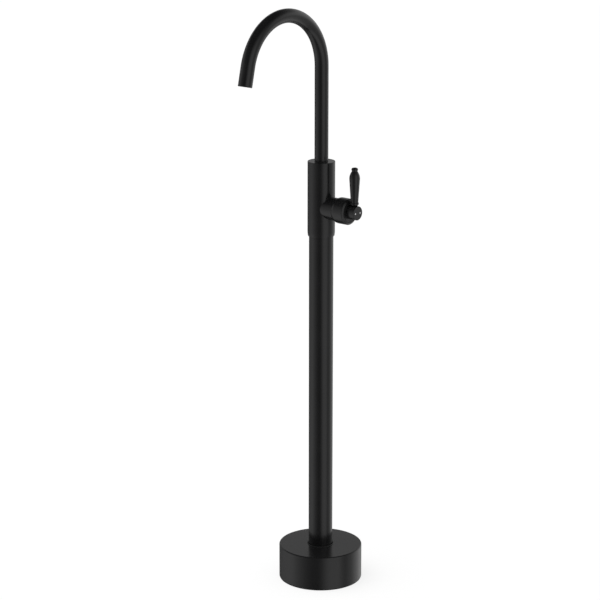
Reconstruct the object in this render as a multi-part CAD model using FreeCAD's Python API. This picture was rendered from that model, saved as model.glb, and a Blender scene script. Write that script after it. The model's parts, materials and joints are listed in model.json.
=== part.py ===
"""Floor standing bath filler: base cover, column, mixer body with a side lever, and a swan neck spout.

Millimetres. The origin is on the floor, at the centre of the column. +Z is up, the spout reaches
towards -Y, and the handle stands out towards +X.
"""
import FreeCAD, Part
import math
import os
from FreeCAD import Placement, Rotation, Vector

# ---- clearances ----
RUNNING_GAP = 0.05          # radial, shaft turning in its hole
PUSH_GAP = 0.05             # radial, parts that push together and stay
MOVING_GAP = 0.3            # between pieces that pass each other
SEAL_GAP = 0.05             # from a seal's skin to what it seals on

# ---- set screws ----
GRUB_TIP_SHARE = 0.5        # of the screw's radius, at the flat of its point
GRUB_SOCKET_SHARE = 0.55    # of the screw's radius, to the hexagon's corners
GRUB_SOCKET_DEPTH_SHARE = 0.4

# ---- base cover ----
COVER_DIA = 155.0
COVER_HEIGHT = 65.0
COVER_WALL = 1.5
COVER_TOP_EDGE_RADIUS = 1.2
COVER_GUIDE_DEPTH = 4.0
COVER_GUIDE_WALL = 3.0
COLLAR_SEAL_SECTION = 2.4
FOOT_RING_HEIGHT = 1.2
FOOT_RING_WIDTH = 3.0
FOOT_RING_INSET = 0.5

# ---- floor flange ----
FLANGE_THICKNESS = 8.0
FLANGE_TO_COVER = 6.0       # radial, between the flange's rim and the cover's wall
FLANGE_EDGE_RADIUS = 1.0
ANCHOR_FROM_RIM = 11.0      # from the flange's rim to each hole's centre
ANCHOR_HOLE_DIA = 9.0
ANCHOR_COUNT = 4
BOSS_WALL = 6.5             # round the manifold's pocket
BOSS_TO_GUIDE = 2.5         # from the boss's top to the cover's guide
BOSS_ROOT_RADIUS = 3.0
RIB_THICKNESS = 6.0
RIB_HEIGHT = 22.0
RIB_FROM_RIM = 3.0
RIB_FOOT = 1.0
CLAMP_SCREW_DIA = 6.0
CLAMP_SCREW_COUNT = 3
CLAMP_SCREW_TURN = 30.0     # degrees from the handle's side to the first screw
CLAMP_SCREW_TIP = 1.0
CLAMP_SCREW_SINK = 1.0      # the head's depth in the boss

# ---- inlet manifold and risers ----
INLET_OFFSET = 12.5         # from the column's axis to each inlet
PORT_DIA = 18.0
PORT_DEPTH = 14.0
PORT_WALL = 4.0             # from a port's bore to the manifold's rim
MANIFOLD_EDGE = 0.5
VALVE_DIA = 15.2
VALVE_LENGTH = 7.4
VALVE_THROAT_DIA = 7.0
RISER_DIA = 12.0
RISER_WALL = 1.0
RISER_SOCKET_DEPTH = 10.0
RISER_SEAL_SECTION = 1.6
CIRCLIP_THICKNESS = 1.6
CIRCLIP_WIDTH = 3.2
CIRCLIP_FLOOR_GAP = 1.0
CIRCLIP_OPENING = 40.0      # degrees left open between its ends
CIRCLIP_EYE_DIA = 5.0
CIRCLIP_EYE_HOLE_DIA = 2.4
CIRCLIP_EYE_TURN = 3.0      # degrees from the ring's end
SPACER_THICKNESS = 8.0
SPACER_COUNT = 2
SPACER_WAIST_WIDTH = 16.0
SPACER_WAIST_LENGTH = 20.0

# ---- column ----
COLUMN_DIA = 44.5
COLUMN_WALL = 1.5
ADAPTOR_WALL = 2.0
ADAPTOR_IN_COLUMN = 20.0
ADAPTOR_IN_BODY = 16.0

# ---- mixer body ----
BODY_DIA = 50.0
BODY_TOP = 800.0            # above the floor
BODY_HEIGHT = 140.0
BODY_SHOULDER = 11.0        # height of the rounded foot
BODY_TOP_EDGE = 0.5
PASSAGE_DIA = 8.0
BODY_SCREW_DIA = 5.0
BODY_SCREW_TIP = 0.5
BODY_SCREW_SINK = 0.5

# ---- spout ----
SPOUT_DIA = 25.0
SPOUT_WALL = 1.5
SPOUT_STRAIGHT = 171.0      # from its foot to the bend
SPOUT_BEND_RADIUS = 100.0
SPOUT_BEND_ANGLE = 167.0
SPOUT_END_LENGTH = 34.7
SPOUT_LIP_RADIUS = 0.5
GLIDE_RING_HEIGHT = 1.0
GLIDE_RING_INSET = 0.3
NIPPLE_DIA = 18.0
NIPPLE_WALL = 3.0
NIPPLE_IN_BODY = 46.0
NIPPLE_IN_SPOUT = 24.0
NIPPLE_EDGE = 0.6
NIPPLE_GROOVE_RISE = 12.0   # from the nipple's foot to the groove's middle
NIPPLE_GROOVE_WIDTH = 5.6
NIPPLE_GROOVE_DEPTH = 1.4
SPOUT_SEAL_SECTION = 2.0
SPOUT_SEAL_LAND = 1.0       # between a seal's groove and the screw's groove
BUSH_WALL = 2.0
BUSH_LENGTH = 22.0
RETAINING_SCREW_DIA = 5.0
RETAINING_SCREW_TIP = 1.5
RETAINING_SCREW_SINK = 1.0

# ---- outlet ----
OUTLET_RECESS = 1.5
OUTLET_HOUSING_LENGTH = 11.0
OUTLET_HOUSING_WALL = 1.4
OUTLET_SHELF_WIDTH = 1.0
OUTLET_SHELF_THICKNESS = 1.2
OUTLET_SEAL_HEIGHT = 1.6
OUTLET_SEAL_WIDTH = 2.4
STRAIGHTENER_LENGTH = 6.0
STRAIGHTENER_WEB = 0.8
STRAIGHTENER_RINGS = 2
STRAIGHTENER_SPOKES = 6

# ---- cartridge, measured outwards along the handle's axis ----
HANDLE_DROP = 84.4          # from the body's top to the handle's axis
CARTRIDGE_SEAT = 8.0        # from the column's axis
CARTRIDGE_DIA = 35.0
CARTRIDGE_WALL = 1.9
CARTRIDGE_GAP = 0.3         # radial, in the body
CARTRIDGE_BASE = 4.0
FIXED_DISC = 4.5
DISC_PORT_DIA = 6.0
MOVING_DISC = 4.0
MOVING_DISC_DIA = 20.0
DISC_HOLLOW_DIA = 12.4
DISC_HOLLOW_TOP_DIA = 10.0
DISC_HOLLOW_DEPTH = 2.0
CARRIER_PLATE = 4.0
CARRIER_RIM = 0.8
TURRET_FLANGE = 8.5
HOUSING_SHOULDER = 2.3
HOUSING_COLLAR_WALL = 3.1
HOUSING_COLLAR_LENGTH = 14.0
HOUSING_EDGE = 0.5
TURRET_NECK_DIA = 22.0
TURRET_PAST_PIVOT = 6.0
TURRET_WALL = 1.0           # left outside the stem's slot
DISC_LAP = 0.05             # film between the two discs
PORT_SPREAD = 8.5           # sideways from the handle's axis to each inlet port
INLET_PORT_DROP = 6.0
OUTLET_PORT_RISE = 8.5
CARTRIDGE_PORT_DIA = 7.2
PORT_SEAL_SECTION = 1.6
PORT_SEAL_INSET = 0.3       # from a port's rim to its seal
LOCATING_PIN_DIA = 3.0
LOCATING_PIN_LENGTH = 3.0
LOCATING_PIN_FROM_RIM = 3.5

# ---- handle ----
PIVOT_REACH = 56.0          # from the column's axis to the cross pin
PIVOT_PIN_DIA = 3.0
PIVOT_PIN_SINK = 1.0        # each end's depth in the turret
TILT_RANGE = 20.0           # degrees
STEM_SIDE = 6.0
STEM_ARM = 14.0             # from the cross pin to the ball
STEM_BALL_DIA = 4.6
STEM_NECK_DIA = 3.2
POST_WALL = 1.0
STUB_WALL = 3.0             # body wall round the cartridge
STUB_END = 40.0             # from the column's axis
NECK_LENGTH = 6.0
NUT_DEPTH = 1.05            # radial, from cartridge to the nut's thread
NUT_HEAD = 3.0
NUT_EDGE = 0.5
NUT_NOTCHES = 6
NUT_NOTCH_WIDTH = 3.0
NUT_NOTCH_DEPTH = 2.5
NECK_WALL = 1.45
DOME_RADIUS = 22.0
DOME_WALL = 1.5
DOME_FRONT = 13.2           # from the cross pin to the dome's flat front
DOME_SKIRT_ANGLE = 82.0     # degrees from the handle's axis
DOME_GAP = 0.4
CAP_WALL = 1.4
CAP_PAST_PIVOT = 12.2       # from the cross pin to the ring's front
CAP_BEVEL = 3.7
CAP_REAR_STEP = 0.8         # the cap ring's rear edge stands this proud of the stub
CAP_FLARE = 7.0             # length over which it widens
HUB_DIA = 25.6
HUB_LENGTH = 15.9
HUB_EDGE = 0.5
STEM_IN_HUB = 10.8
LEVER_SETBACK = 7.9         # from the hub's end face to the lever's axis
LEVER_BEAD_DIA = 15.6
LEVER_FOOT_DIA = 12.6
LEVER_WAIST_DIA = 13.8
LEVER_BELLY_DIA = 19.2
LEVER_NECK_DIA = 10.4
LEVER_KNOB_DIA = 12.0
LEVER_HEIGHT = 82.6         # from the handle's axis to the lever's tip
LEVER_BEAD_RISE = 4.4       # from the hub's skin to the bead
LEVER_BEAD_HEIGHT = 3.1
LEVER_WAIST_RISE = 8.2      # from the hub's skin to the waist
LEVER_BELLY_DROP = 20.2     # from the tip to the widest part of the shank
LEVER_NECK_DROP = 7.0       # from the tip to the foot of the neck
LEVER_KNOB_DROP = 3.3       # from the tip to the knob's widest part
LEVER_TIP_CROWN = 0.9       # height of the knob's domed top
LEVER_TIP_INSET = 1.3
STUD_DIA = 5.0
STUD_IN_HUB = 7.0
STUD_IN_LEVER = 14.0
HUB_SCREW_DIA = 4.0
HUB_SCREW_TIP = 0.8
HUB_SCREW_SINK = 0.8
INDEX_DOT_DIA = 3.2
INDEX_DOT_DEPTH = 1.0
INDEX_DOT_OFFSET = 6.6

# ---- places worked out from the sizes above ----
Z_AXIS = Vector(0, 0, 1)
COLUMN_R = COLUMN_DIA / 2
COLUMN_BORE_R = COLUMN_R - COLUMN_WALL
COVER_R = COVER_DIA / 2
COVER_INNER_R = COVER_R - COVER_WALL
COVER_CEILING = COVER_HEIGHT - COVER_WALL
COVER_BORE_R = COLUMN_R + MOVING_GAP
GUIDE_BOTTOM = COVER_CEILING - COVER_GUIDE_DEPTH
BOSS_TOP = GUIDE_BOTTOM - BOSS_TO_GUIDE
FLANGE_R = COVER_INNER_R - FLANGE_TO_COVER
ANCHOR_CIRCLE_R = FLANGE_R - ANCHOR_FROM_RIM
MANIFOLD_R = INLET_OFFSET + PORT_DIA / 2 + PORT_WALL
MANIFOLD_BOTTOM = CIRCLIP_FLOOR_GAP + CIRCLIP_THICKNESS
VALVE_BOTTOM = MANIFOLD_BOTTOM + PORT_DEPTH
RISER_BOTTOM = VALVE_BOTTOM + VALVE_LENGTH
MANIFOLD_TOP = RISER_BOTTOM + RISER_SOCKET_DEPTH
BOSS_R = MANIFOLD_R + PUSH_GAP + BOSS_WALL
RISER_R = RISER_DIA / 2
BODY_R = BODY_DIA / 2
BODY_BOTTOM = BODY_TOP - BODY_HEIGHT
ADAPTOR_R = COLUMN_BORE_R - PUSH_GAP
ADAPTOR_TOP = BODY_BOTTOM + ADAPTOR_IN_BODY
RISER_TOP = ADAPTOR_TOP + RISER_SOCKET_DEPTH
SPOUT_R = SPOUT_DIA / 2
SPOUT_BORE_R = SPOUT_R - SPOUT_WALL
SPOUT_FOOT = BODY_TOP + GLIDE_RING_HEIGHT
BEND_START = SPOUT_FOOT + SPOUT_STRAIGHT
NIPPLE_R = NIPPLE_DIA / 2
NIPPLE_BOTTOM = BODY_TOP - NIPPLE_IN_BODY
NIPPLE_GROOVE_Z = NIPPLE_BOTTOM + NIPPLE_GROOVE_RISE
BUSH_R = NIPPLE_R + RUNNING_GAP + BUSH_WALL
BUSH_BOTTOM = BODY_TOP - BUSH_LENGTH
HANDLE_Z = BODY_TOP - HANDLE_DROP

CARTRIDGE_R = CARTRIDGE_DIA / 2
CHAMBER_R = CARTRIDGE_R + CARTRIDGE_GAP
HOUSING_BORE_R = CARTRIDGE_R - CARTRIDGE_WALL
BASE_FRONT = CARTRIDGE_SEAT + CARTRIDGE_BASE
FIXED_FRONT = BASE_FRONT + FIXED_DISC
MOVING_REAR = FIXED_FRONT + DISC_LAP
MOVING_FRONT = MOVING_REAR + MOVING_DISC
CARRIER_FRONT = MOVING_FRONT + CARRIER_PLATE
TURRET_REAR = CARRIER_FRONT + MOVING_GAP
TURRET_STEP = TURRET_REAR + TURRET_FLANGE
SHOULDER_REAR = TURRET_STEP + MOVING_GAP
SHOULDER_FRONT = SHOULDER_REAR + HOUSING_SHOULDER
TURRET_NECK_R = TURRET_NECK_DIA / 2
TURRET_FRONT = PIVOT_REACH + TURRET_PAST_PIVOT
COLLAR_R = TURRET_NECK_R + RUNNING_GAP + HOUSING_COLLAR_WALL
COLLAR_FRONT = SHOULDER_FRONT + HOUSING_COLLAR_LENGTH
NUT_R = CARTRIDGE_R + NUT_DEPTH
NECK_END = STUB_END + NECK_LENGTH
NUT_FRONT = NECK_END + NUT_HEAD
NECK_R = NUT_R + NECK_WALL
STUB_R = CHAMBER_R + STUB_WALL
CAP_BORE_R = DOME_RADIUS + DOME_GAP
CAP_R = CAP_BORE_R + CAP_WALL
CAP_FRONT = PIVOT_REACH + CAP_PAST_PIVOT
DOME_FLAT = PIVOT_REACH + DOME_FRONT
HUB_R = HUB_DIA / 2
HUB_END = DOME_FLAT + HUB_LENGTH
STEM_END = DOME_FLAT + STEM_IN_HUB
LEVER_X = HUB_END - LEVER_SETBACK
BALL_X = PIVOT_REACH - STEM_ARM
TILT = math.radians(TILT_RANGE)
DISC_TRAVEL = STEM_ARM * TILT
DISC_REST_DROP = DISC_TRAVEL / 2
SOCKET_HALF = STEM_BALL_DIA / 2 + MOVING_GAP
POST_HALF = SOCKET_HALF + POST_WALL
POST_FRONT = BALL_X + STEM_NECK_DIA / 2


# ---- shape helpers ----
def turned(outline):
    """Solid of revolution about Z. Each entry is (radius, height), or a pair of those for an arc:
    the point it passes through and the point it ends at."""
    edges = []
    here = Vector(outline[0][0], 0, outline[0][1])
    for step in list(outline[1:]) + [outline[0]]:
        if isinstance(step[0], tuple):
            middle, end = (Vector(r, 0, z) for r, z in step)
            edges.append(Part.Arc(here, middle, end).toShape())
        else:
            end = Vector(step[0], 0, step[1])
            edges.append(Part.LineSegment(here, end).toShape())
        here = end
    return Part.Face(Part.Wire(edges)).revolve(Vector(), Z_AXIS, 360)


def arc_onto_wall(start, end):
    """Arc for turned(): from start, and running smoothly into the wall parallel to Z that begins at end."""
    inset = end[0] - start[0]
    rise = end[1] - start[1]
    arc_r = (rise ** 2 + inset ** 2) / (2 * inset)
    half_angle = math.asin(rise / arc_r) / 2
    middle = (end[0] - arc_r * (1 - math.cos(half_angle)), end[1] - arc_r * math.sin(half_angle))
    return middle, end


def rod(radius, low, high):
    """Solid cylinder on the Z axis."""
    return Part.makeCylinder(radius, high - low, Vector(0, 0, low))


def tube(outer, inner, low, high):
    """Hollow cylinder on the Z axis."""
    return rod(outer, low, high).cut(rod(inner, low, high))


def o_ring(bore_radius, section, height):
    """Round-section ring on the Z axis whose inside has the given radius."""
    return Part.makeTorus(bore_radius + section / 2, section / 2, Vector(0, 0, height))


def moved(shape, x=0.0, y=0.0, z=0.0):
    """Copy of a shape, shifted."""
    copy = shape.copy()
    copy.translate(Vector(x, y, z))
    return copy


def turned_about_z(shape, degrees):
    """Copy of a shape, turned about the Z axis."""
    copy = shape.copy()
    copy.rotate(Vector(), Z_AXIS, degrees)
    return copy


def on_handle_axis(shape):
    """Take a shape built along Z to the handle's axis: its Z goes to +X and its -X to +Z."""
    copy = shape.copy()
    copy.Placement = Placement(Vector(0, 0, HANDLE_Z), Rotation(Vector(0, 1, 0), 90)).multiply(copy.Placement)
    return copy


def along_x(radius, start, length, y, z):
    """Cylinder parallel to X."""
    return Part.makeCylinder(radius, length, Vector(start, y, z), Vector(1, 0, 0))


def along_y(radius, start, length, x, z):
    """Cylinder parallel to Y."""
    return Part.makeCylinder(radius, length, Vector(x, start, z), Vector(0, 1, 0))


def grub_screw(radius, length, tip):
    """Set screw along Z with its cone point at height 0 and a hexagon socket in its head."""
    body = turned([(0, 0), (radius * GRUB_TIP_SHARE, 0), (radius, tip), (radius, length), (0, length)])
    socket_depth = length * GRUB_SOCKET_DEPTH_SHARE
    socket_r = radius * GRUB_SOCKET_SHARE
    sixth = math.pi / 3
    corners = [Vector(socket_r * math.cos(sixth * i), socket_r * math.sin(sixth * i), length - socket_depth)
               for i in range(6)]
    hexagon = Part.Face(Part.makePolygon(corners + corners[:1]))
    return body.cut(hexagon.extrude(Vector(0, 0, socket_depth)))


def screw_at_back(screw, tip_y, z):
    """Put a screw built along Z with its point at (0, tip_y, z) and its head towards +Y."""
    copy = screw.copy()
    copy.Placement = Placement(Vector(0, tip_y, z), Rotation(Vector(1, 0, 0), -90))
    return copy


# ---- base cover ----
def base_cover():
    """Turned drum, open below, with a rolled top edge and a guide collar round the column."""
    edge = COVER_TOP_EDGE_RADIUS
    bend = edge * (1 - math.sqrt(0.5))
    guide_r = COVER_BORE_R + COVER_GUIDE_WALL
    shell = turned([
        (COVER_R, FOOT_RING_HEIGHT),
        (COVER_R, COVER_HEIGHT - edge),
        ((COVER_R - bend, COVER_HEIGHT - bend), (COVER_R - edge, COVER_HEIGHT)),
        (COVER_BORE_R, COVER_HEIGHT),
        (COVER_BORE_R, GUIDE_BOTTOM),
        (guide_r, GUIDE_BOTTOM),
        (guide_r, COVER_CEILING),
        (COVER_INNER_R, COVER_CEILING),
        (COVER_INNER_R, FOOT_RING_HEIGHT),
    ])
    seat = o_ring(COLUMN_R + SEAL_GAP, COLLAR_SEAL_SECTION, COVER_HEIGHT)
    return shell.cut(seat)


def collar_seal():
    """Rubber ring in the mouth of the cover's bore, half above the top face."""
    return o_ring(COLUMN_R + SEAL_GAP, COLLAR_SEAL_SECTION, COVER_HEIGHT)


def foot_ring():
    """Rubber ring between the cover's lower edge and the floor."""
    outer = COVER_R - FOOT_RING_INSET
    inner = outer - FOOT_RING_WIDTH
    lip = FOOT_RING_HEIGHT * 2
    return turned([(outer, 0), (outer, FOOT_RING_HEIGHT), (COVER_INNER_R - PUSH_GAP, FOOT_RING_HEIGHT),
                   (COVER_INNER_R - PUSH_GAP, FOOT_RING_HEIGHT + lip), (inner, FOOT_RING_HEIGHT + lip), (inner, 0)])


# ---- floor flange ----
def floor_flange():
    """Turned plate with a boss for the column, four ribs and four anchor holes."""
    edge = FLANGE_EDGE_RADIUS
    root = BOSS_ROOT_RADIUS
    pocket_r = MANIFOLD_R + PUSH_GAP
    column_hole_r = COLUMN_R + PUSH_GAP
    blend = root * (1 - math.sqrt(0.5))
    shape = turned([
        (pocket_r, 0), (FLANGE_R, 0), (FLANGE_R, FLANGE_THICKNESS - edge), (FLANGE_R - edge, FLANGE_THICKNESS),
        (BOSS_R + root, FLANGE_THICKNESS),
        ((BOSS_R + blend, FLANGE_THICKNESS + blend), (BOSS_R, FLANGE_THICKNESS + root)),
        (BOSS_R, BOSS_TOP - edge), (BOSS_R - edge, BOSS_TOP), (column_hole_r, BOSS_TOP),
        (column_hole_r, MANIFOLD_TOP), (pocket_r, MANIFOLD_TOP),
    ])
    rib_start = BOSS_R - edge
    rib_end = FLANGE_R - RIB_FROM_RIM
    rib_low = FLANGE_THICKNESS - edge
    profile = [(rib_start, rib_low), (rib_end, rib_low), (rib_end, FLANGE_THICKNESS + RIB_FOOT),
               (rib_start, FLANGE_THICKNESS + RIB_HEIGHT)]
    corners = [Vector(x, -RIB_THICKNESS / 2, z) for x, z in profile]
    rib = Part.Face(Part.makePolygon(corners + corners[:1])).extrude(Vector(0, RIB_THICKNESS, 0))
    hole = moved(rod(ANCHOR_HOLE_DIA / 2, 0, FLANGE_THICKNESS), x=ANCHOR_CIRCLE_R)
    pitch = 360 / ANCHOR_COUNT
    for i in range(ANCHOR_COUNT):
        shape = shape.fuse(turned_about_z(rib, i * pitch))
    for i in range(ANCHOR_COUNT):
        shape = shape.cut(turned_about_z(hole, (i + 0.5) * pitch))
    for i in range(CLAMP_SCREW_COUNT):
        shape = shape.cut(clamp_screw_hole(i))
    return shape.cut(circlip_groove()).removeSplitter()


def clamp_screw_angle(i):
    """Direction of a clamp screw about the column, in degrees."""
    return CLAMP_SCREW_TURN + i * 360 / CLAMP_SCREW_COUNT


def clamp_screw_height():
    """Height of the clamp screws, halfway up the column's socket."""
    return (MANIFOLD_TOP + BOSS_TOP) / 2


def clamp_screw_hole(i):
    """Radial hole through the boss."""
    hole = along_x(CLAMP_SCREW_DIA / 2, COLUMN_R, BOSS_R - COLUMN_R, 0, clamp_screw_height())
    return turned_about_z(hole, clamp_screw_angle(i))


def clamp_screws():
    """Set screws that hold the column in the flange."""
    screw = grub_screw(CLAMP_SCREW_DIA / 2, BOSS_R - COLUMN_R - CLAMP_SCREW_SINK, CLAMP_SCREW_TIP)
    screw.Placement = Placement(Vector(COLUMN_R, 0, clamp_screw_height()), Rotation(Vector(0, 1, 0), 90))
    return Part.makeCompound([turned_about_z(screw, clamp_screw_angle(i)) for i in range(CLAMP_SCREW_COUNT)])


def circlip_groove():
    """Space that the circlip's groove takes in the flange."""
    return rod(MANIFOLD_R + CIRCLIP_WIDTH / 2 + PUSH_GAP, CIRCLIP_FLOOR_GAP, MANIFOLD_BOTTOM)


def manifold_circlip():
    """Open spring ring under the manifold's rim, with an eye at each end."""
    outer = MANIFOLD_R + CIRCLIP_WIDTH / 2
    inner = outer - CIRCLIP_WIDTH
    ring = tube(outer, inner, CIRCLIP_FLOOR_GAP, MANIFOLD_BOTTOM)
    half = math.radians(CIRCLIP_OPENING / 2)
    far = 2 * outer
    corners = [Vector(0, 0, CIRCLIP_FLOOR_GAP),
               Vector(far * math.cos(half), -far * math.sin(half), CIRCLIP_FLOOR_GAP),
               Vector(far * math.cos(half), far * math.sin(half), CIRCLIP_FLOOR_GAP)]
    wedge = Part.Face(Part.makePolygon(corners + corners[:1])).extrude(Vector(0, 0, CIRCLIP_THICKNESS))
    ring = ring.cut(wedge)
    eye_r = CIRCLIP_EYE_DIA / 2
    eye_at = outer - eye_r
    disc = moved(rod(eye_r, CIRCLIP_FLOOR_GAP, MANIFOLD_BOTTOM), x=eye_at)
    hole = moved(rod(CIRCLIP_EYE_HOLE_DIA / 2, CIRCLIP_FLOOR_GAP, MANIFOLD_BOTTOM), x=eye_at)
    for side in (-1, 1):
        angle = side * (CIRCLIP_OPENING / 2 + CIRCLIP_EYE_TURN)
        ring = ring.fuse(turned_about_z(disc, angle)).cut(turned_about_z(hole, angle))
    return ring


# ---- inlets and risers ----
def riser_socket(low, high, seal_height):
    """Space for a riser's end, with its seal groove, on the Z axis."""
    socket = rod(RISER_R + PUSH_GAP, low, high)
    groove = rod(RISER_R + 2 * SEAL_GAP + RISER_SEAL_SECTION, seal_height - RISER_SEAL_SECTION / 2,
                 seal_height + RISER_SEAL_SECTION / 2)
    return socket.fuse(groove)


def lower_seal_height():
    """Height of the risers' lower seals, halfway along their sockets."""
    return RISER_BOTTOM + RISER_SOCKET_DEPTH / 2


def upper_seal_height():
    """Height of the risers' upper seals, halfway along their sockets."""
    return RISER_TOP - RISER_SOCKET_DEPTH / 2


def inlet_manifold():
    """Block in the flange's pocket: two ports below, a valve seat and a riser socket over each."""
    edge = MANIFOLD_EDGE
    block = turned([(0, MANIFOLD_BOTTOM), (MANIFOLD_R - edge, MANIFOLD_BOTTOM), (MANIFOLD_R, MANIFOLD_BOTTOM + edge),
                    (MANIFOLD_R, MANIFOLD_TOP), (0, MANIFOLD_TOP)])
    way = rod(PORT_DIA / 2, MANIFOLD_BOTTOM, VALVE_BOTTOM)
    way = way.fuse(rod(VALVE_DIA / 2, VALVE_BOTTOM, RISER_BOTTOM))
    way = way.fuse(riser_socket(RISER_BOTTOM, MANIFOLD_TOP, lower_seal_height()))
    for side in (-1, 1):
        block = block.cut(moved(way, y=side * INLET_OFFSET))
    return block


def check_valves():
    """Two small valve bodies, each with a conical seat, in the manifold."""
    outer = VALVE_DIA / 2 - PUSH_GAP
    bore = RISER_R - RISER_WALL
    valve = turned([(bore, VALVE_BOTTOM), (outer, VALVE_BOTTOM), (outer, RISER_BOTTOM), (bore, RISER_BOTTOM),
                    (VALVE_THROAT_DIA / 2, VALVE_BOTTOM + VALVE_LENGTH / 2)])
    return Part.makeCompound([moved(valve, y=side * INLET_OFFSET) for side in (-1, 1)])


def riser_tube(side):
    """Straight water tube from the manifold to the mixer body."""
    return moved(tube(RISER_R, RISER_R - RISER_WALL, RISER_BOTTOM, RISER_TOP), y=side * INLET_OFFSET)


def riser_seals():
    """Four round-section rings, one at each end of each riser."""
    rings = []
    for side in (-1, 1):
        for height in (lower_seal_height(), upper_seal_height()):
            rings.append(moved(o_ring(RISER_R + SEAL_GAP, RISER_SEAL_SECTION, height), y=side * INLET_OFFSET))
    return Part.makeCompound(rings)


def riser_spacers():
    """Clips that keep the risers apart inside the column."""
    low = MANIFOLD_TOP
    high = BODY_BOTTOM - ADAPTOR_IN_COLUMN
    radius = COLUMN_BORE_R - PUSH_GAP
    clips = []
    for i in range(SPACER_COUNT):
        z = low + (high - low) * (i + 1) / (SPACER_COUNT + 1)
        clip = rod(radius, z, z + SPACER_THICKNESS)
        for side in (-1, 1):
            clip = clip.cut(moved(rod(RISER_R + PUSH_GAP, z, z + SPACER_THICKNESS), y=side * INLET_OFFSET))
        waist = Part.makeBox(radius, SPACER_WAIST_LENGTH, SPACER_THICKNESS,
                             Vector(SPACER_WAIST_WIDTH / 2, -SPACER_WAIST_LENGTH / 2, z))
        clip = clip.cut(waist).cut(turned_about_z(waist, 180))
        clips.append(clip)
    return Part.makeCompound(clips)


# ---- column ----
def column_tube():
    """Plain round tube from the flange's socket to the mixer body."""
    return tube(COLUMN_R, COLUMN_BORE_R, MANIFOLD_TOP, BODY_BOTTOM)


def column_adaptor():
    """Threaded sleeve inside the column's top and the mixer body's foot."""
    return tube(ADAPTOR_R, ADAPTOR_R - ADAPTOR_WALL, BODY_BOTTOM - ADAPTOR_IN_COLUMN, ADAPTOR_TOP)


# ---- mixer body ----
def body_screw_height():
    """Height of the screw that locks the mixer body on the adaptor."""
    return BODY_BOTTOM + BODY_SHOULDER


def body_outside():
    """Turned barrel with a rounded foot, and the side stub that carries the cartridge."""
    foot = (COLUMN_R, BODY_BOTTOM)
    edge = BODY_TOP_EDGE
    barrel = turned([(0, BODY_BOTTOM), foot, arc_onto_wall(foot, (BODY_R, BODY_BOTTOM + BODY_SHOULDER)),
                     (BODY_R, BODY_TOP - edge), (BODY_R - edge, BODY_TOP), (0, BODY_TOP)])
    stub = on_handle_axis(rod(STUB_R, 0, STUB_END).fuse(rod(NECK_R, STUB_END, NECK_END)))
    return barrel.fuse(stub)


def mixer_body():
    """Mixer body with its cartridge chamber, water passages and spout socket."""
    shape = body_outside()
    chamber = rod(CHAMBER_R, CARTRIDGE_SEAT, SHOULDER_FRONT)
    chamber = chamber.fuse(rod(NUT_R + PUSH_GAP, SHOULDER_FRONT, NECK_END))
    cuts = [on_handle_axis(chamber)]
    cuts.append(rod(ADAPTOR_R + PUSH_GAP, BODY_BOTTOM, ADAPTOR_TOP))
    passage = PASSAGE_DIA / 2
    port = CARTRIDGE_PORT_DIA / 2
    inlet_z = HANDLE_Z - INLET_PORT_DROP
    outlet_z = HANDLE_Z + OUTLET_PORT_RISE
    for side in (-1, 1):
        cuts.append(moved(riser_socket(ADAPTOR_TOP, RISER_TOP, upper_seal_height()), y=side * INLET_OFFSET))
        cuts.append(moved(rod(passage, RISER_TOP, inlet_z + port), y=side * INLET_OFFSET))
        cuts.append(along_x(port, -passage, CARTRIDGE_SEAT + passage, side * PORT_SPREAD, inlet_z))
        cuts.append(on_handle_axis(locating_pin(side, PUSH_GAP)))
    cuts.append(along_x(port, -passage, CARTRIDGE_SEAT + passage, 0, outlet_z))
    cuts.append(rod(NIPPLE_R - NIPPLE_WALL, outlet_z - port, NIPPLE_BOTTOM))
    cuts.append(rod(NIPPLE_R + RUNNING_GAP, NIPPLE_BOTTOM - MOVING_GAP, BUSH_BOTTOM))
    cuts.append(rod(BUSH_R + PUSH_GAP, BUSH_BOTTOM, BODY_TOP))
    cuts.append(along_y(RETAINING_SCREW_DIA / 2, 0, BODY_R, 0, NIPPLE_GROOVE_Z))
    cuts.append(along_y(BODY_SCREW_DIA / 2, ADAPTOR_R, BODY_R - ADAPTOR_R, 0, body_screw_height()))
    for cut in cuts:
        shape = shape.cut(cut)
    return shape


def body_lock_screw():
    """Set screw at the back of the body's foot, against the adaptor."""
    length = BODY_R - ADAPTOR_R - BODY_SCREW_SINK
    return screw_at_back(grub_screw(BODY_SCREW_DIA / 2, length, BODY_SCREW_TIP), ADAPTOR_R, body_screw_height())


# ---- spout ----
def spout_retaining_screw():
    """Set screw at the back of the mixer body, whose point runs in the nipple's groove."""
    tip_y = NIPPLE_R - NIPPLE_GROOVE_DEPTH + MOVING_GAP
    length = BODY_R - tip_y - RETAINING_SCREW_SINK
    screw = grub_screw(RETAINING_SCREW_DIA / 2, length, RETAINING_SCREW_TIP)
    return screw_at_back(screw, tip_y, NIPPLE_GROOVE_Z)


def spout_bush():
    """Plastic bearing bush in the mixer body's top."""
    return tube(BUSH_R, NIPPLE_R + RUNNING_GAP, BUSH_BOTTOM, BODY_TOP)


def spout_seal_heights():
    """Heights of the two spout seals, one each side of the retaining groove."""
    reach = NIPPLE_GROOVE_WIDTH / 2 + SPOUT_SEAL_LAND + SPOUT_SEAL_SECTION
    return NIPPLE_GROOVE_Z - reach, NIPPLE_GROOVE_Z + reach


def spout_seals():
    """Two round-section rings on the nipple."""
    bore = NIPPLE_R - SPOUT_SEAL_SECTION
    return Part.makeCompound([o_ring(bore, SPOUT_SEAL_SECTION, z) for z in spout_seal_heights()])


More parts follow.
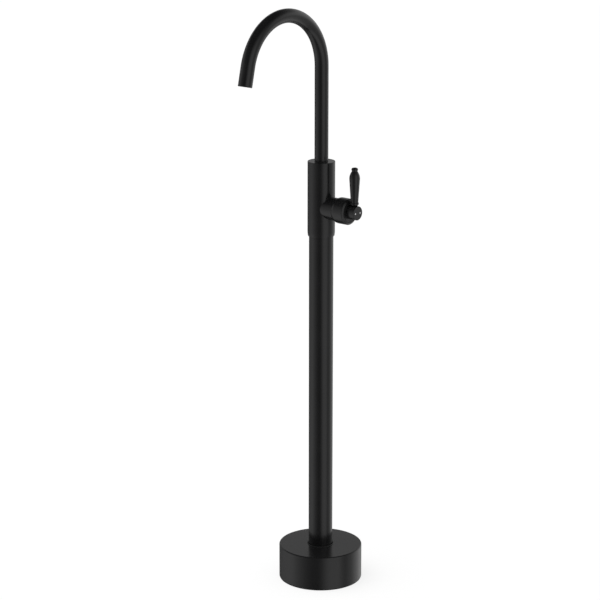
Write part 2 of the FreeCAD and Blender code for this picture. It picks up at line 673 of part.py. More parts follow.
def spout_nipple():
    """Swivel nipple: its lower half turns in the body, its upper half is fast in the spout."""
    upper_r = SPOUT_BORE_R - PUSH_GAP
    top = SPOUT_FOOT + NIPPLE_IN_SPOUT
    edge = NIPPLE_EDGE
    shape = turned([(NIPPLE_R - NIPPLE_WALL, NIPPLE_BOTTOM), (NIPPLE_R - edge, NIPPLE_BOTTOM),
                    (NIPPLE_R, NIPPLE_BOTTOM + edge), (NIPPLE_R, SPOUT_FOOT), (upper_r, SPOUT_FOOT),
                    (upper_r, top - edge), (upper_r - edge, top), (NIPPLE_R - NIPPLE_WALL, top)])
    half = NIPPLE_GROOVE_WIDTH / 2
    shape = shape.cut(tube(NIPPLE_R, NIPPLE_R - NIPPLE_GROOVE_DEPTH, NIPPLE_GROOVE_Z - half, NIPPLE_GROOVE_Z + half))
    groove = SPOUT_SEAL_SECTION / 2 + SEAL_GAP
    for z in spout_seal_heights():
        shape = shape.cut(tube(NIPPLE_R, NIPPLE_R - SPOUT_SEAL_SECTION, z - groove, z + groove))
    return shape


def glide_ring():
    """Thin bearing washer between the mixer body's top and the spout's foot."""
    return tube(SPOUT_R - GLIDE_RING_INSET, NIPPLE_R + RUNNING_GAP, BODY_TOP, SPOUT_FOOT)


def spout_path():
    """Centre line of the spout: straight up, round the bend and down to the outlet."""
    angle = math.radians(SPOUT_BEND_ANGLE)
    centre = Vector(0, -SPOUT_BEND_RADIUS, BEND_START)

    def on_bend(a):
        return centre + Vector(0, math.cos(a), math.sin(a)) * SPOUT_BEND_RADIUS

    foot = Vector(0, 0, SPOUT_FOOT)
    end = on_bend(angle) + outlet_direction() * SPOUT_END_LENGTH
    return Part.Wire([Part.LineSegment(foot, on_bend(0)).toShape(),
                      Part.Arc(on_bend(0), on_bend(angle / 2), on_bend(angle)).toShape(),
                      Part.LineSegment(on_bend(angle), end).toShape()])


def outlet_direction():
    """Way the water leaves the spout."""
    angle = math.radians(SPOUT_BEND_ANGLE)
    return Vector(0, -math.sin(angle), math.cos(angle))


def outlet_centre():
    """Centre of the spout's end face."""
    return spout_path().Vertexes[-1].Point


def at_outlet(shape):
    """Take a shape built along Z, with the outlet's face at height 0, to the spout's end."""
    copy = shape.copy()
    copy.Placement = Placement(outlet_centre(), Rotation(Z_AXIS, outlet_direction())).multiply(copy.Placement)
    return copy


def spout_tube():
    """Swan neck tube with a rounded lip at its mouth."""
    foot = Vector(0, 0, SPOUT_FOOT)
    skins = []
    for radius in (SPOUT_R, SPOUT_BORE_R):
        section = Part.Wire(Part.makeCircle(radius, foot, Z_AXIS))
        skins.append(spout_path().makePipeShell([section], True, False))
    lip = SPOUT_LIP_RADIUS
    bend = lip * (1 - math.sqrt(0.5))
    far = 2 * SPOUT_R
    trim = turned([(SPOUT_R - lip, 0), ((SPOUT_R - bend, -bend), (SPOUT_R, -lip)), (far, -lip), (far, 0)])
    return skins[0].cut(skins[1]).cut(at_outlet(trim))


# ---- outlet ----
def outlet_housing():
    """Round cage in the spout's mouth, with a turned-in shelf for the flow straightener."""
    outer = SPOUT_BORE_R - PUSH_GAP
    inner = outer - OUTLET_HOUSING_WALL
    shelf = inner - OUTLET_SHELF_WIDTH
    low = -OUTLET_RECESS - OUTLET_HOUSING_LENGTH
    shelf_low = -OUTLET_RECESS - OUTLET_SHELF_THICKNESS
    return at_outlet(turned([(inner, low), (outer, low), (outer, -OUTLET_RECESS), (shelf, -OUTLET_RECESS),
                             (shelf, shelf_low), (inner, shelf_low)]))


def flow_straightener():
    """Rings and spokes that calm the water."""
    outer = SPOUT_BORE_R - PUSH_GAP - OUTLET_HOUSING_WALL - PUSH_GAP
    high = -OUTLET_RECESS - OUTLET_SHELF_THICKNESS
    low = high - STRAIGHTENER_LENGTH
    web = STRAIGHTENER_WEB
    shape = tube(outer, outer - web, low, high)
    for i in range(1, STRAIGHTENER_RINGS + 1):
        ring_r = outer * i / (STRAIGHTENER_RINGS + 1)
        shape = shape.fuse(tube(ring_r + web / 2, ring_r - web / 2, low, high))
    for i in range(STRAIGHTENER_SPOKES // 2):
        spoke = Part.makeBox(2 * outer - web, web, high - low, Vector(-outer + web / 2, -web / 2, low))
        shape = shape.fuse(turned_about_z(spoke, i * 360 / STRAIGHTENER_SPOKES))
    return at_outlet(shape)


def outlet_seal():
    """Flat washer on the inner end of the outlet housing."""
    outer = SPOUT_BORE_R - PUSH_GAP
    high = -OUTLET_RECESS - OUTLET_HOUSING_LENGTH
    return at_outlet(tube(outer, outer - OUTLET_SEAL_WIDTH, high - OUTLET_SEAL_HEIGHT, high))


# ---- cartridge ----
def locating_pin(side, gap):
    """Small pin between cartridge base and mixer body."""
    radius = LOCATING_PIN_DIA / 2 + gap
    spread = CARTRIDGE_R - LOCATING_PIN_FROM_RIM
    pin = rod(radius, CARTRIDGE_SEAT - LOCATING_PIN_LENGTH - gap, CARTRIDGE_SEAT)
    return moved(pin, x=-INLET_PORT_DROP / 2, y=side * spread)


def port_places():
    """Centres of the cartridge's three ports across the handle's axis."""
    return [(INLET_PORT_DROP, -PORT_SPREAD), (INLET_PORT_DROP, PORT_SPREAD), (-OUTLET_PORT_RISE, 0)]


def port_seal_bore():
    """Inner radius of the ring round a port."""
    return CARTRIDGE_PORT_DIA / 2 + PORT_SEAL_INSET


def cartridge_base():
    """Plate at the bottom of the chamber, with three ports and two locating pins."""
    plate = rod(CARTRIDGE_R, CARTRIDGE_SEAT, BASE_FRONT)
    for side in (-1, 1):
        plate = plate.fuse(locating_pin(side, 0))
    port = rod(CARTRIDGE_PORT_DIA / 2, CARTRIDGE_SEAT, BASE_FRONT)
    groove = rod(port_seal_bore() + PORT_SEAL_SECTION + SEAL_GAP, CARTRIDGE_SEAT, CARTRIDGE_SEAT + PORT_SEAL_SECTION)
    for x, y in port_places():
        plate = plate.cut(moved(port, x=x, y=y)).cut(moved(groove, x=x, y=y))
    return on_handle_axis(plate)


def cartridge_seals():
    """Three round-section rings between cartridge base and mixer body."""
    ring = o_ring(port_seal_bore(), PORT_SEAL_SECTION, CARTRIDGE_SEAT + PORT_SEAL_SECTION / 2)
    return on_handle_axis(Part.makeCompound([moved(ring, x=x, y=y) for x, y in port_places()]))


def fixed_disc():
    """Ceramic disc with the three ports, seated on the base."""
    disc = rod(HOUSING_BORE_R - PUSH_GAP, BASE_FRONT, FIXED_FRONT)
    for x, y in port_places():
        disc = disc.cut(moved(rod(DISC_PORT_DIA / 2, BASE_FRONT, FIXED_FRONT), x=x, y=y))
    return on_handle_axis(disc)


def cartridge_housing():
    """Stepped shell that holds the discs and guides the turret."""
    bore = HOUSING_BORE_R
    neck_bore = TURRET_NECK_R + RUNNING_GAP
    edge = HOUSING_EDGE
    return on_handle_axis(turned([
        (bore, BASE_FRONT), (CARTRIDGE_R, BASE_FRONT), (CARTRIDGE_R, SHOULDER_FRONT - edge),
        (CARTRIDGE_R - edge, SHOULDER_FRONT), (COLLAR_R, SHOULDER_FRONT), (COLLAR_R, COLLAR_FRONT - edge),
        (COLLAR_R - edge, COLLAR_FRONT), (neck_bore, COLLAR_FRONT), (neck_bore, SHOULDER_REAR),
        (bore, SHOULDER_REAR)]))


def cartridge_nut():
    """Ring nut that presses on the housing's shoulder, notched for a pin wrench."""
    bore = COLLAR_R + PUSH_GAP
    nut = turned([(bore, SHOULDER_FRONT), (NUT_R, SHOULDER_FRONT), (NUT_R, NUT_FRONT - NUT_EDGE),
                  (NUT_R - NUT_EDGE, NUT_FRONT), (bore, NUT_FRONT)])
    notch = Part.makeBox(NUT_R, NUT_NOTCH_WIDTH, NUT_HEAD,
                         Vector(NUT_R - NUT_NOTCH_DEPTH, -NUT_NOTCH_WIDTH / 2, NECK_END))
    for i in range(NUT_NOTCHES):
        nut = nut.cut(turned_about_z(notch, i * 360 / NUT_NOTCHES))
    return on_handle_axis(nut)


def moving_disc():
    """Ceramic disc that slides on the fixed one, hollowed on its underside."""
    radius = MOVING_DISC_DIA / 2
    hollow_front = MOVING_REAR + DISC_HOLLOW_DEPTH
    hollow = turned([(0, MOVING_REAR), (DISC_HOLLOW_DIA / 2, MOVING_REAR), (DISC_HOLLOW_TOP_DIA / 2, hollow_front),
                     (0, hollow_front)])
    disc = rod(radius, MOVING_REAR, MOVING_FRONT).cut(hollow)
    return on_handle_axis(moved(disc, x=DISC_REST_DROP))


def disc_carrier():
    """Plate on the moving disc, with the square post that the stem's ball sits in."""
    plate = moved(rod(MOVING_DISC_DIA / 2 + CARRIER_RIM, MOVING_FRONT, CARRIER_FRONT), x=DISC_REST_DROP)
    post = Part.makeBox(2 * POST_HALF, 2 * POST_HALF, POST_FRONT - MOVING_FRONT,
                        Vector(-POST_HALF, -POST_HALF, MOVING_FRONT))
    socket = rod(SOCKET_HALF, BALL_X - STEM_BALL_DIA / 2 - 2 * MOVING_GAP, POST_FRONT)
    return on_handle_axis(plate.fuse(post).cut(socket))


def stem_slot():
    """Space that the stem sweeps through the turret's neck, from upright to full tilt."""
    half = STEM_SIDE / 2 + MOVING_GAP
    slope = math.tan(TILT)
    tilted_half = half / math.cos(TILT)
    behind = PIVOT_REACH - TURRET_REAR
    ahead = TURRET_PAST_PIVOT
    corners = [(TURRET_REAR, -half), (PIVOT_REACH, -half), (TURRET_FRONT, -ahead * slope - tilted_half),
               (TURRET_FRONT, half), (PIVOT_REACH, tilted_half), (TURRET_REAR, behind * slope + tilted_half)]
    points = [Vector(-up, -half, x) for x, up in corners]
    return Part.Face(Part.makePolygon(points + points[:1])).extrude(Vector(0, 2 * half, 0))


def cartridge_turret():
    """Flanged head that turns in the housing, slotted for the stem and the carrier's post."""
    flange = rod(HOUSING_BORE_R - RUNNING_GAP, TURRET_REAR, TURRET_STEP)
    neck = rod(TURRET_NECK_R, TURRET_STEP, TURRET_FRONT)
    half = POST_HALF + MOVING_GAP
    post_slot = Part.makeBox(2 * half + DISC_TRAVEL, 2 * half, POST_FRONT + MOVING_GAP - TURRET_REAR,
                             Vector(-half - DISC_TRAVEL, -half, TURRET_REAR))
    reach = rod(TURRET_NECK_R - TURRET_WALL, TURRET_REAR, TURRET_FRONT)
    pin_hole = Part.makeCylinder(PIVOT_PIN_DIA / 2, 2 * TURRET_NECK_R,
                                 Vector(0, -TURRET_NECK_R, PIVOT_REACH), Vector(0, 1, 0))
    return on_handle_axis(flange.fuse(neck).cut(post_slot).cut(stem_slot().common(reach)).cut(pin_hole))


def pivot_pin():
    """Cross pin that the stem tilts on."""
    length = 2 * (TURRET_NECK_R - PIVOT_PIN_SINK)
    return along_y(PIVOT_PIN_DIA / 2, -length / 2, length, PIVOT_REACH, HANDLE_Z)


# ---- handle ----
def control_stem():
    """Square steel stem with a round neck and a ball at its inner end."""
    half = STEM_SIDE / 2
    square_start = BALL_X + STEM_BALL_DIA
    bar = Part.makeBox(STEM_SIDE, STEM_SIDE, STEM_END - square_start, Vector(-half, -half, square_start))
    neck = rod(STEM_NECK_DIA / 2, BALL_X, square_start)
    ball = Part.makeSphere(STEM_BALL_DIA / 2, Vector(0, 0, BALL_X))
    hole = Part.makeCylinder(PIVOT_PIN_DIA / 2 + RUNNING_GAP, STEM_SIDE,
                             Vector(0, -half, PIVOT_REACH), Vector(0, 1, 0))
    return on_handle_axis(bar.fuse(neck).fuse(ball).cut(hole))


def cap_ring():
    """Turned ring round the cartridge nut, with a bevelled front and a hollow round the dome."""
    lip_r = math.sqrt(CAP_BORE_R ** 2 - CAP_PAST_PIVOT ** 2)
    halfway = (math.acos(CAP_PAST_PIVOT / CAP_BORE_R) + math.pi / 2) / 2
    hollow = ((CAP_BORE_R * math.sin(halfway), PIVOT_REACH + CAP_BORE_R * math.cos(halfway)),
              (CAP_BORE_R, PIVOT_REACH))
    step = NECK_END + MOVING_GAP
    rear = (STUB_R + CAP_REAR_STEP, STUB_END)
    return on_handle_axis(turned([
        (NECK_R + PUSH_GAP, STUB_END), rear, arc_onto_wall(rear, (CAP_R, STUB_END + CAP_FLARE)),
        (CAP_R, CAP_FRONT - CAP_BEVEL), (CAP_R - CAP_BEVEL, CAP_FRONT), (lip_r, CAP_FRONT), hollow,
        (CAP_BORE_R, step), (NECK_R + PUSH_GAP, step)]))


def handle_dome():
    """Part of a hollow ball round the cross pin, with a flat front for the hub."""
    inner = DOME_RADIUS - DOME_WALL
    front_r = math.sqrt(DOME_RADIUS ** 2 - DOME_FRONT ** 2)
    flat = DOME_FRONT - DOME_WALL
    flat_r = math.sqrt(inner ** 2 - flat ** 2)
    skirt = math.radians(DOME_SKIRT_ANGLE)

    def ball_point(radius, angle):
        return radius * math.sin(angle), PIVOT_REACH + radius * math.cos(angle)

    front_angle = math.acos(DOME_FRONT / DOME_RADIUS)
    flat_angle = math.acos(flat / inner)
    hole_r = STEM_SIDE / 2 * math.sqrt(2) + MOVING_GAP
    return on_handle_axis(turned([
        (hole_r, PIVOT_REACH + flat), (flat_r, PIVOT_REACH + flat),
        (ball_point(inner, (flat_angle + skirt) / 2), ball_point(inner, skirt)),
        ball_point(DOME_RADIUS, skirt),
        (ball_point(DOME_RADIUS, (front_angle + skirt) / 2), (front_r, DOME_FLAT)),
        (hole_r, DOME_FLAT)]))


def handle_hub():
    """Short drum on the dome, bored for the stem, the lever's stud and the hub screw."""
    hub = turned([(0, DOME_FLAT), (HUB_R, DOME_FLAT), (HUB_R, HUB_END - HUB_EDGE), (HUB_R - HUB_EDGE, HUB_END),
                  (0, HUB_END)])
    half = STEM_SIDE / 2 + PUSH_GAP
    square = Part.makeBox(2 * half, 2 * half, STEM_END + PUSH_GAP - DOME_FLAT, Vector(-half, -half, DOME_FLAT))
    stud_hole = Part.makeCylinder(STUD_DIA / 2, STUD_IN_HUB, Vector(-HUB_R, 0, LEVER_X), Vector(1, 0, 0))
    screw_hole = Part.makeCylinder(HUB_SCREW_DIA / 2, HUB_R, Vector(0, 0, LEVER_X), Vector(1, 0, 0))
    hub = hub.cut(square).cut(stud_hole).cut(screw_hole)
    for side in (-1, 1):
        hub = hub.cut(index_dot_space(side))
    return on_handle_axis(hub)


def index_dot_space(side):
    """Round pocket in the hub's end face."""
    return moved(rod(INDEX_DOT_DIA / 2, HUB_END - INDEX_DOT_DEPTH, HUB_END), y=side * INDEX_DOT_OFFSET)


def index_dot(side):
    """Small inlaid dot that marks the hot or the cold side."""
    return on_handle_axis(index_dot_space(side))


def hub_screw():
    """Set screw under the hub, against the stem."""
    screw = grub_screw(HUB_SCREW_DIA / 2, HUB_R - STEM_SIDE / 2 - HUB_SCREW_SINK, HUB_SCREW_TIP)
    screw.Placement = Placement(Vector(LEVER_X, 0, HANDLE_Z - STEM_SIDE / 2), Rotation(Vector(1, 0, 0), 180))
    return screw


def crown_arc(rim_radius, rim_height, rise):
    """Arc from a rim up to the axis, round a centre on the axis."""
    ball = (rim_radius ** 2 + rise ** 2) / (2 * rise)
    centre = rim_height + rise - ball
    half = math.asin(rim_radius / ball) / 2
    middle = Vector(ball * math.sin(half), 0, centre + ball * math.cos(half))
    return Part.Arc(Vector(rim_radius, 0, rim_height), middle, Vector(0, 0, rim_height + rise)).toShape()


def shank_edges(waist, belly, neck):
    """Outline of the shank: a straight taper that runs smoothly into the arc over the belly to the neck."""
    inset = belly.x - neck.x
    rise = neck.z - belly.z
    ball = (rise ** 2 + inset ** 2) / (2 * inset)
    centre = belly - Vector(ball, 0, 0)
    down = waist - centre
    touch_angle = math.atan2(down.z, down.x) + math.acos(ball / down.Length)
    neck_angle = math.asin(rise / ball)

    def on_ball(angle):
        return centre + Vector(math.cos(angle), 0, math.sin(angle)) * ball

    touch = on_ball(touch_angle)
    return [Part.LineSegment(waist, touch).toShape(),
            Part.Arc(touch, on_ball((touch_angle + neck_angle) / 2), neck).toShape()]


def lever():
    """Turned baluster: a bead at its foot, a swelling shank, a neck and a small knob."""
    foot_r = LEVER_FOOT_DIA / 2
    bead_low = HUB_R + LEVER_BEAD_RISE - LEVER_BEAD_HEIGHT / 2
    bead_top = Vector(LEVER_WAIST_DIA / 2, 0, bead_low + LEVER_BEAD_HEIGHT)
    waist = Vector(LEVER_WAIST_DIA / 2, 0, HUB_R + LEVER_WAIST_RISE)
    belly = Vector(LEVER_BELLY_DIA / 2, 0, LEVER_HEIGHT - LEVER_BELLY_DROP)
    neck_low = Vector(LEVER_NECK_DIA / 2, 0, LEVER_HEIGHT - LEVER_NECK_DROP)
    knob = Vector(LEVER_KNOB_DIA / 2, 0, LEVER_HEIGHT - LEVER_KNOB_DROP)
    knob_top = Vector(LEVER_KNOB_DIA / 2 - LEVER_TIP_INSET, 0, LEVER_HEIGHT - LEVER_TIP_CROWN)
    neck_high = Vector(neck_low.x, 0, 2 * knob.z - knob_top.z)
    foot = Vector(foot_r, 0, 0)
    bead_foot = Vector(foot_r, 0, bead_low)
    edges = [Part.LineSegment(Vector(), foot).toShape(),
             Part.LineSegment(foot, bead_foot).toShape(),
             Part.Arc(bead_foot, Vector(LEVER_BEAD_DIA / 2, 0, HUB_R + LEVER_BEAD_RISE), bead_top).toShape(),
             Part.LineSegment(bead_top, waist).toShape()]
    edges += shank_edges(waist, belly, neck_low)
    edges += [Part.LineSegment(neck_low, neck_high).toShape(),
              Part.Arc(neck_high, knob, knob_top).toShape(),
              crown_arc(knob_top.x, knob_top.z, LEVER_TIP_CROWN),
              Part.LineSegment(Vector(0, 0, LEVER_HEIGHT), Vector()).toShape()]
    body = Part.Face(Part.Wire(edges)).revolve(Vector(), Z_AXIS, 360)
    saddle = Part.makeCylinder(HUB_R, HUB_LENGTH * 2, Vector(-HUB_LENGTH, 0, 0), Vector(1, 0, 0))
    stud_space = rod(STUD_DIA / 2, 0, HUB_R + STUD_IN_LEVER)
    return moved(body.cut(saddle).cut(stud_space), x=LEVER_X, z=HANDLE_Z)


def lever_stud():
    """Threaded stud between hub and lever."""
    return moved(rod(STUD_DIA / 2, HUB_R - STUD_IN_HUB, HUB_R + STUD_IN_LEVER), x=LEVER_X, z=HANDLE_Z)


# ---- the object ----
PIECES = {
    "base_cover": base_cover,
    "cover_collar_seal": collar_seal,
    "cover_foot_ring": foot_ring,
    "floor_flange": floor_flange,
    "column_clamp_screws": clamp_screws,
    "inlet_manifold": inlet_manifold,
    "manifold_circlip": manifold_circlip,
    "check_valves": check_valves,
    "hot_riser_tube": lambda: riser_tube(-1),
    "cold_riser_tube": lambda: riser_tube(1),
    "riser_seals": riser_seals,
    "riser_spacers": riser_spacers,
    "column_tube": column_tube,
    "column_adaptor": column_adaptor,
    "mixer_body": mixer_body,
    "body_lock_screw": body_lock_screw,
    "spout_retaining_screw": spout_retaining_screw,
    "spout_bush": spout_bush,
    "glide_ring": glide_ring,
    "spout_nipple": spout_nipple,
    "spout_seals": spout_seals,
    "spout_tube": spout_tube,
    "outlet_housing": outlet_housing,
    "flow_straightener": flow_straightener,
    "outlet_seal": outlet_seal,
    "cartridge_base": cartridge_base,
    "cartridge_seals": cartridge_seals,
    "fixed_disc": fixed_disc,
    "cartridge_housing": cartridge_housing,
    "cartridge_nut": cartridge_nut,
    "moving_disc": moving_disc,
    "disc_carrier": disc_carrier,
    "cartridge_turret": cartridge_turret,
    "pivot_pin": pivot_pin,
    "cap_ring": cap_ring,
    "handle_dome": handle_dome,
    "control_stem": control_stem,
    "handle_hub": handle_hub,
    "hub_screw": hub_screw,
    "lever": lever,
    "lever_stud": lever_stud,
    "index_dot_hot": lambda: index_dot(-1),
    "index_dot_cold": lambda: index_dot(1),
}

os.makedirs("parts", exist_ok=True)
for node, make in PIECES.items():
    piece = make()
    box = piece.BoundBox
    print(f"{node:24s} solids {len(piece.Solids)} valid {piece.isValid()} volume {piece.Volume:10.1f}"
          f"  z {box.ZMin:.1f}..{box.ZMax:.1f}")
    piece.exportStep(f"parts/{node}.step")
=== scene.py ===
"""Looks of a floor standing bath filler: outer pieces in fine mesh, finishes, studio and camera.

Sizes are in millimetres and become metres when a mesh is made. +Z is up, the spout reaches towards
-Y and the handle stands out towards +X. Every mesh holds its place in its points, so each object
stays at the origin.
"""
import bmesh
import bpy
import json
import logging
import math
from dataclasses import dataclass, field
from enum import Enum
from mathutils import Matrix, Vector


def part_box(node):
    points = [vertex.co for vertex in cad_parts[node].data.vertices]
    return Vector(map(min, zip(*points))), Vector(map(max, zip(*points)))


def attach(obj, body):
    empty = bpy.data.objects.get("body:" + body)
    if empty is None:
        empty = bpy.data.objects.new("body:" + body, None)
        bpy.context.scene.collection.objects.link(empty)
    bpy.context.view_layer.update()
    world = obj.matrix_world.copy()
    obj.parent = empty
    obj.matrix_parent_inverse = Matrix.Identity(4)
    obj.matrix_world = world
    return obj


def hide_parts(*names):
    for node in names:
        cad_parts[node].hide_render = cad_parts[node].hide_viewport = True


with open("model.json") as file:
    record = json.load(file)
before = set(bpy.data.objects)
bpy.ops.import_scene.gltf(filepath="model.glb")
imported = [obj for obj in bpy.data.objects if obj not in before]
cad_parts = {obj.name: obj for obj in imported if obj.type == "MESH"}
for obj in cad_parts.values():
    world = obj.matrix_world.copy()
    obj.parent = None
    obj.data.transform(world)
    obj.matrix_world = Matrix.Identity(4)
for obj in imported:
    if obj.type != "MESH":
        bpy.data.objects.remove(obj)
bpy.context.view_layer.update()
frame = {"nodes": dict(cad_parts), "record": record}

LOG = logging.getLogger("bath_filler")
MM = 0.001
FULL_TURN = 2 * math.pi
# How far a point may be off a plane or an axis, and off a wall.
FLAT = 1e-6
ON_WALL = 0.02
# Least cosine between a face's direction and its wall's.
ALONG_WALL = 0.5
# Angles in degrees: the widest corner of an outline and the least fold of a mesh that stay sharp.
SHARP_CORNER = 150
SHARP_FOLD = 30
# Place of the dome's centre along the handle's axis.
PIVOT = 56.0
# Number of faces round a small screw's hole.
SCREW_SIDES = 32
DOTS = ("index_dot_hot", "index_dot_cold")
Pair = tuple[float, float]
Colour = tuple[float, float, float]
Rings = list[list[bmesh.types.BMVert]]
Piece = bpy.types.Object
Pieces = dict[str, Piece]
Socket = bpy.types.NodeSocket


class Axis(Enum):
    """Line that a turned piece is built about; the lathe's height runs along it."""

    COLUMN = "column"
    HANDLE = "handle"
    LEVER = "lever"


class Body(Enum):
    """Moving bodies of the frame."""

    STAND = "stand"
    COVER = "cover"
    SPOUT = "spout"
    HANDLE = "handle"


# ---- measures taken from the frame ----
@dataclass(frozen=True)
class Extent:
    """Lowest and highest corner of a node of the frame, in millimetres."""

    low: Vector
    high: Vector

    @classmethod
    def of(cls, node: str) -> "Extent":
        """Read a node's corners.

        Args:
            node: name of the node.

        Returns:
            Its extent at rest.
        """
        low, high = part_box(node)
        return cls(low / MM, high / MM)

    @property
    def centre(self) -> Vector:
        """Middle of the box."""
        return (self.low + self.high) / 2

    @property
    def half(self) -> Vector:
        """Half of the box's size."""
        return (self.high - self.low) / 2


def placement(axis: Axis) -> Matrix:
    """Matrix from a lathe's own frame to the object's.

    Args:
        axis: line that the piece turns about.

    Returns:
        Matrix in millimetres: the lathe's Z goes along the line.
    """
    handle = Extent.of("handle_hub")
    if axis is Axis.HANDLE:
        return Matrix.Translation((0, 0, handle.centre.z)) @ Matrix.Rotation(math.pi / 2, 4, "Y")
    if axis is Axis.LEVER:
        return Matrix.Translation((Extent.of("lever").centre.x, 0, handle.centre.z))
    return Matrix.Identity(4)


class RoundWall:
    """Round wall of a piece."""

    def __init__(self, axis: Axis, radius: float) -> None:
        """Keep the wall's frame.

        Args:
            axis: line that the wall runs about.
            radius: of the wall.
        """
        self.radius = radius
        self.outward = placement(axis).to_3x3()
        self.inverse = placement(axis).inverted()

    def normals(self, points: list[Vector]) -> list[Vector] | None:
        """Find the wall's outward directions at some points.

        Args:
            points: in the object's frame, in millimetres.

        Returns:
            One direction for each point, or None where a point is off the wall.
        """
        local = [self.inverse @ point for point in points]
        if any(abs(point.xy.length - self.radius) > ON_WALL for point in local):
            return None
        return [(self.outward @ Vector((point.x, point.y, 0))).normalized() for point in local]


def placed(name: str, data: bpy.types.ID) -> Piece:
    """Put a mesh, a camera or a lamp into the scene.

    Args:
        name: of the object.
        data: what it holds.

    Returns:
        The new object, at the origin.
    """
    new = bpy.data.objects.new(name, data)
    bpy.context.scene.collection.objects.link(new)
    return new


# ---- outlines and meshes ----
@dataclass
class Outline:
    """Half section of a turned piece, as corners (radius, height, rounding).

    A rounded corner gets round_steps pieces, and on each side of it a point at support times its
    reach, which keeps the walls' shading flat.
    """

    corners: list[tuple[float, float, float]] = field(default_factory=list)
    round_steps: int = 5
    support: float = 1.6

    def to(self, radius: float, height: float, rounding: float = 0.0) -> "Outline":
        """Go straight to a corner.

        Args:
            radius: distance from the axis.
            height: place along the axis.
            rounding: radius that the corner is rounded with.

        Returns:
            The outline itself, so that calls can be chained.
        """
        self.corners.append((radius, height, rounding))
        return self

    def arc(self, centre: Pair | Vector, radius: float, start: float, end: float, steps: int = 12,
            skipped: int = 0) -> "Outline":
        """Follow an arc.

        Args:
            centre: (radius, height) of the arc's centre.
            radius: of the arc.
            start: first angle in radians, from the outward direction towards the axis' own.
            end: last angle in radians.
            steps: number of straight pieces.
            skipped: number of points left out at the start.

        Returns:
            The outline itself.
        """
        for i in range(skipped, steps + 1):
            angle = start + (end - start) * i / steps
            self.to(centre[0] + radius * math.cos(angle), centre[1] + radius * math.sin(angle))
        return self

    def through(self, middle: Pair, end: Pair, steps: int = 10) -> "Outline":
        """Follow the arc from the last corner through a point.

        Args:
            middle: point on the arc.
            end: where the arc ends.
            steps: number of straight pieces.

        Returns:
            The outline itself.
        """
        a, b, c = Vector(self.corners[-1][:2]), Vector(middle), Vector(end)
        ab, ac = b - a, c - a
        cross = 2 * ab.cross(ac)
        centre = a + Vector((ac.y * ab.length_squared - ab.y * ac.length_squared,
                             ab.x * ac.length_squared - ac.x * ab.length_squared)) / cross
        first = math.atan2(a.y - centre.y, a.x - centre.x)
        last = math.atan2(c.y - centre.y, c.x - centre.x)
        return self.arc(centre, (a - centre).length, first, last, steps, skipped=1)

    def bow(self, end: Pair, steps: int = 12) -> "Outline":
        """Follow an arc that runs smoothly into the wall parallel to the axis at its end.

        Args:
            end: (radius, height) where the wall begins.
            steps: number of straight pieces.

        Returns:
            The outline itself.
        """
        r, h, _ = self.corners[-1]
        inset, rise = end[0] - r, end[1] - h
        bow_radius = (rise ** 2 + inset ** 2) / (2 * inset)
        reach = math.asin(rise / bow_radius)
        for i in range(1, steps + 1):
            angle = reach * (1 - i / steps)
            self.to(end[0] - bow_radius * (1 - math.cos(angle)),
                    end[1] - bow_radius * math.sin(angle))
        return self

    def points(self, closed: bool) -> list[tuple[Vector, bool]]:
        """Work out the points of the outline.

        Args:
            closed: whether the last corner joins the first.

        Returns:
            Points (radius, height) in order, each with whether it is a sharp edge.
        """
        count = len(self.corners)
        result: list[tuple[Vector, bool]] = []
        for i, (r, h, rounding) in enumerate(self.corners):
            here = Vector((r, h))
            inner = closed or 0 < i < count - 1
            before = Vector(self.corners[i - 1][:2])
            after = Vector(self.corners[(i + 1) % count][:2])
            if not inner:
                result.append((here, False))
                continue
            back, ahead = (before - here).normalized(), (after - here).normalized()
            opening = back.angle(ahead)
            if not rounding:
                result.append((here, opening < math.radians(SHARP_CORNER)))
                continue
            reach = rounding / math.tan(opening / 2)
            centre = here + (back + ahead).normalized() * (rounding / math.sin(opening / 2))
            start = here + back * reach - centre
            end = here + ahead * reach - centre
            result.append((here + back * reach * self.support, False))
            for step in range(self.round_steps + 1):
                share = step / self.round_steps
                outward = start.slerp(end, share).normalized()
                result.append((centre + outward * rounding, False))
            result.append((here + ahead * reach * self.support, False))
        return result


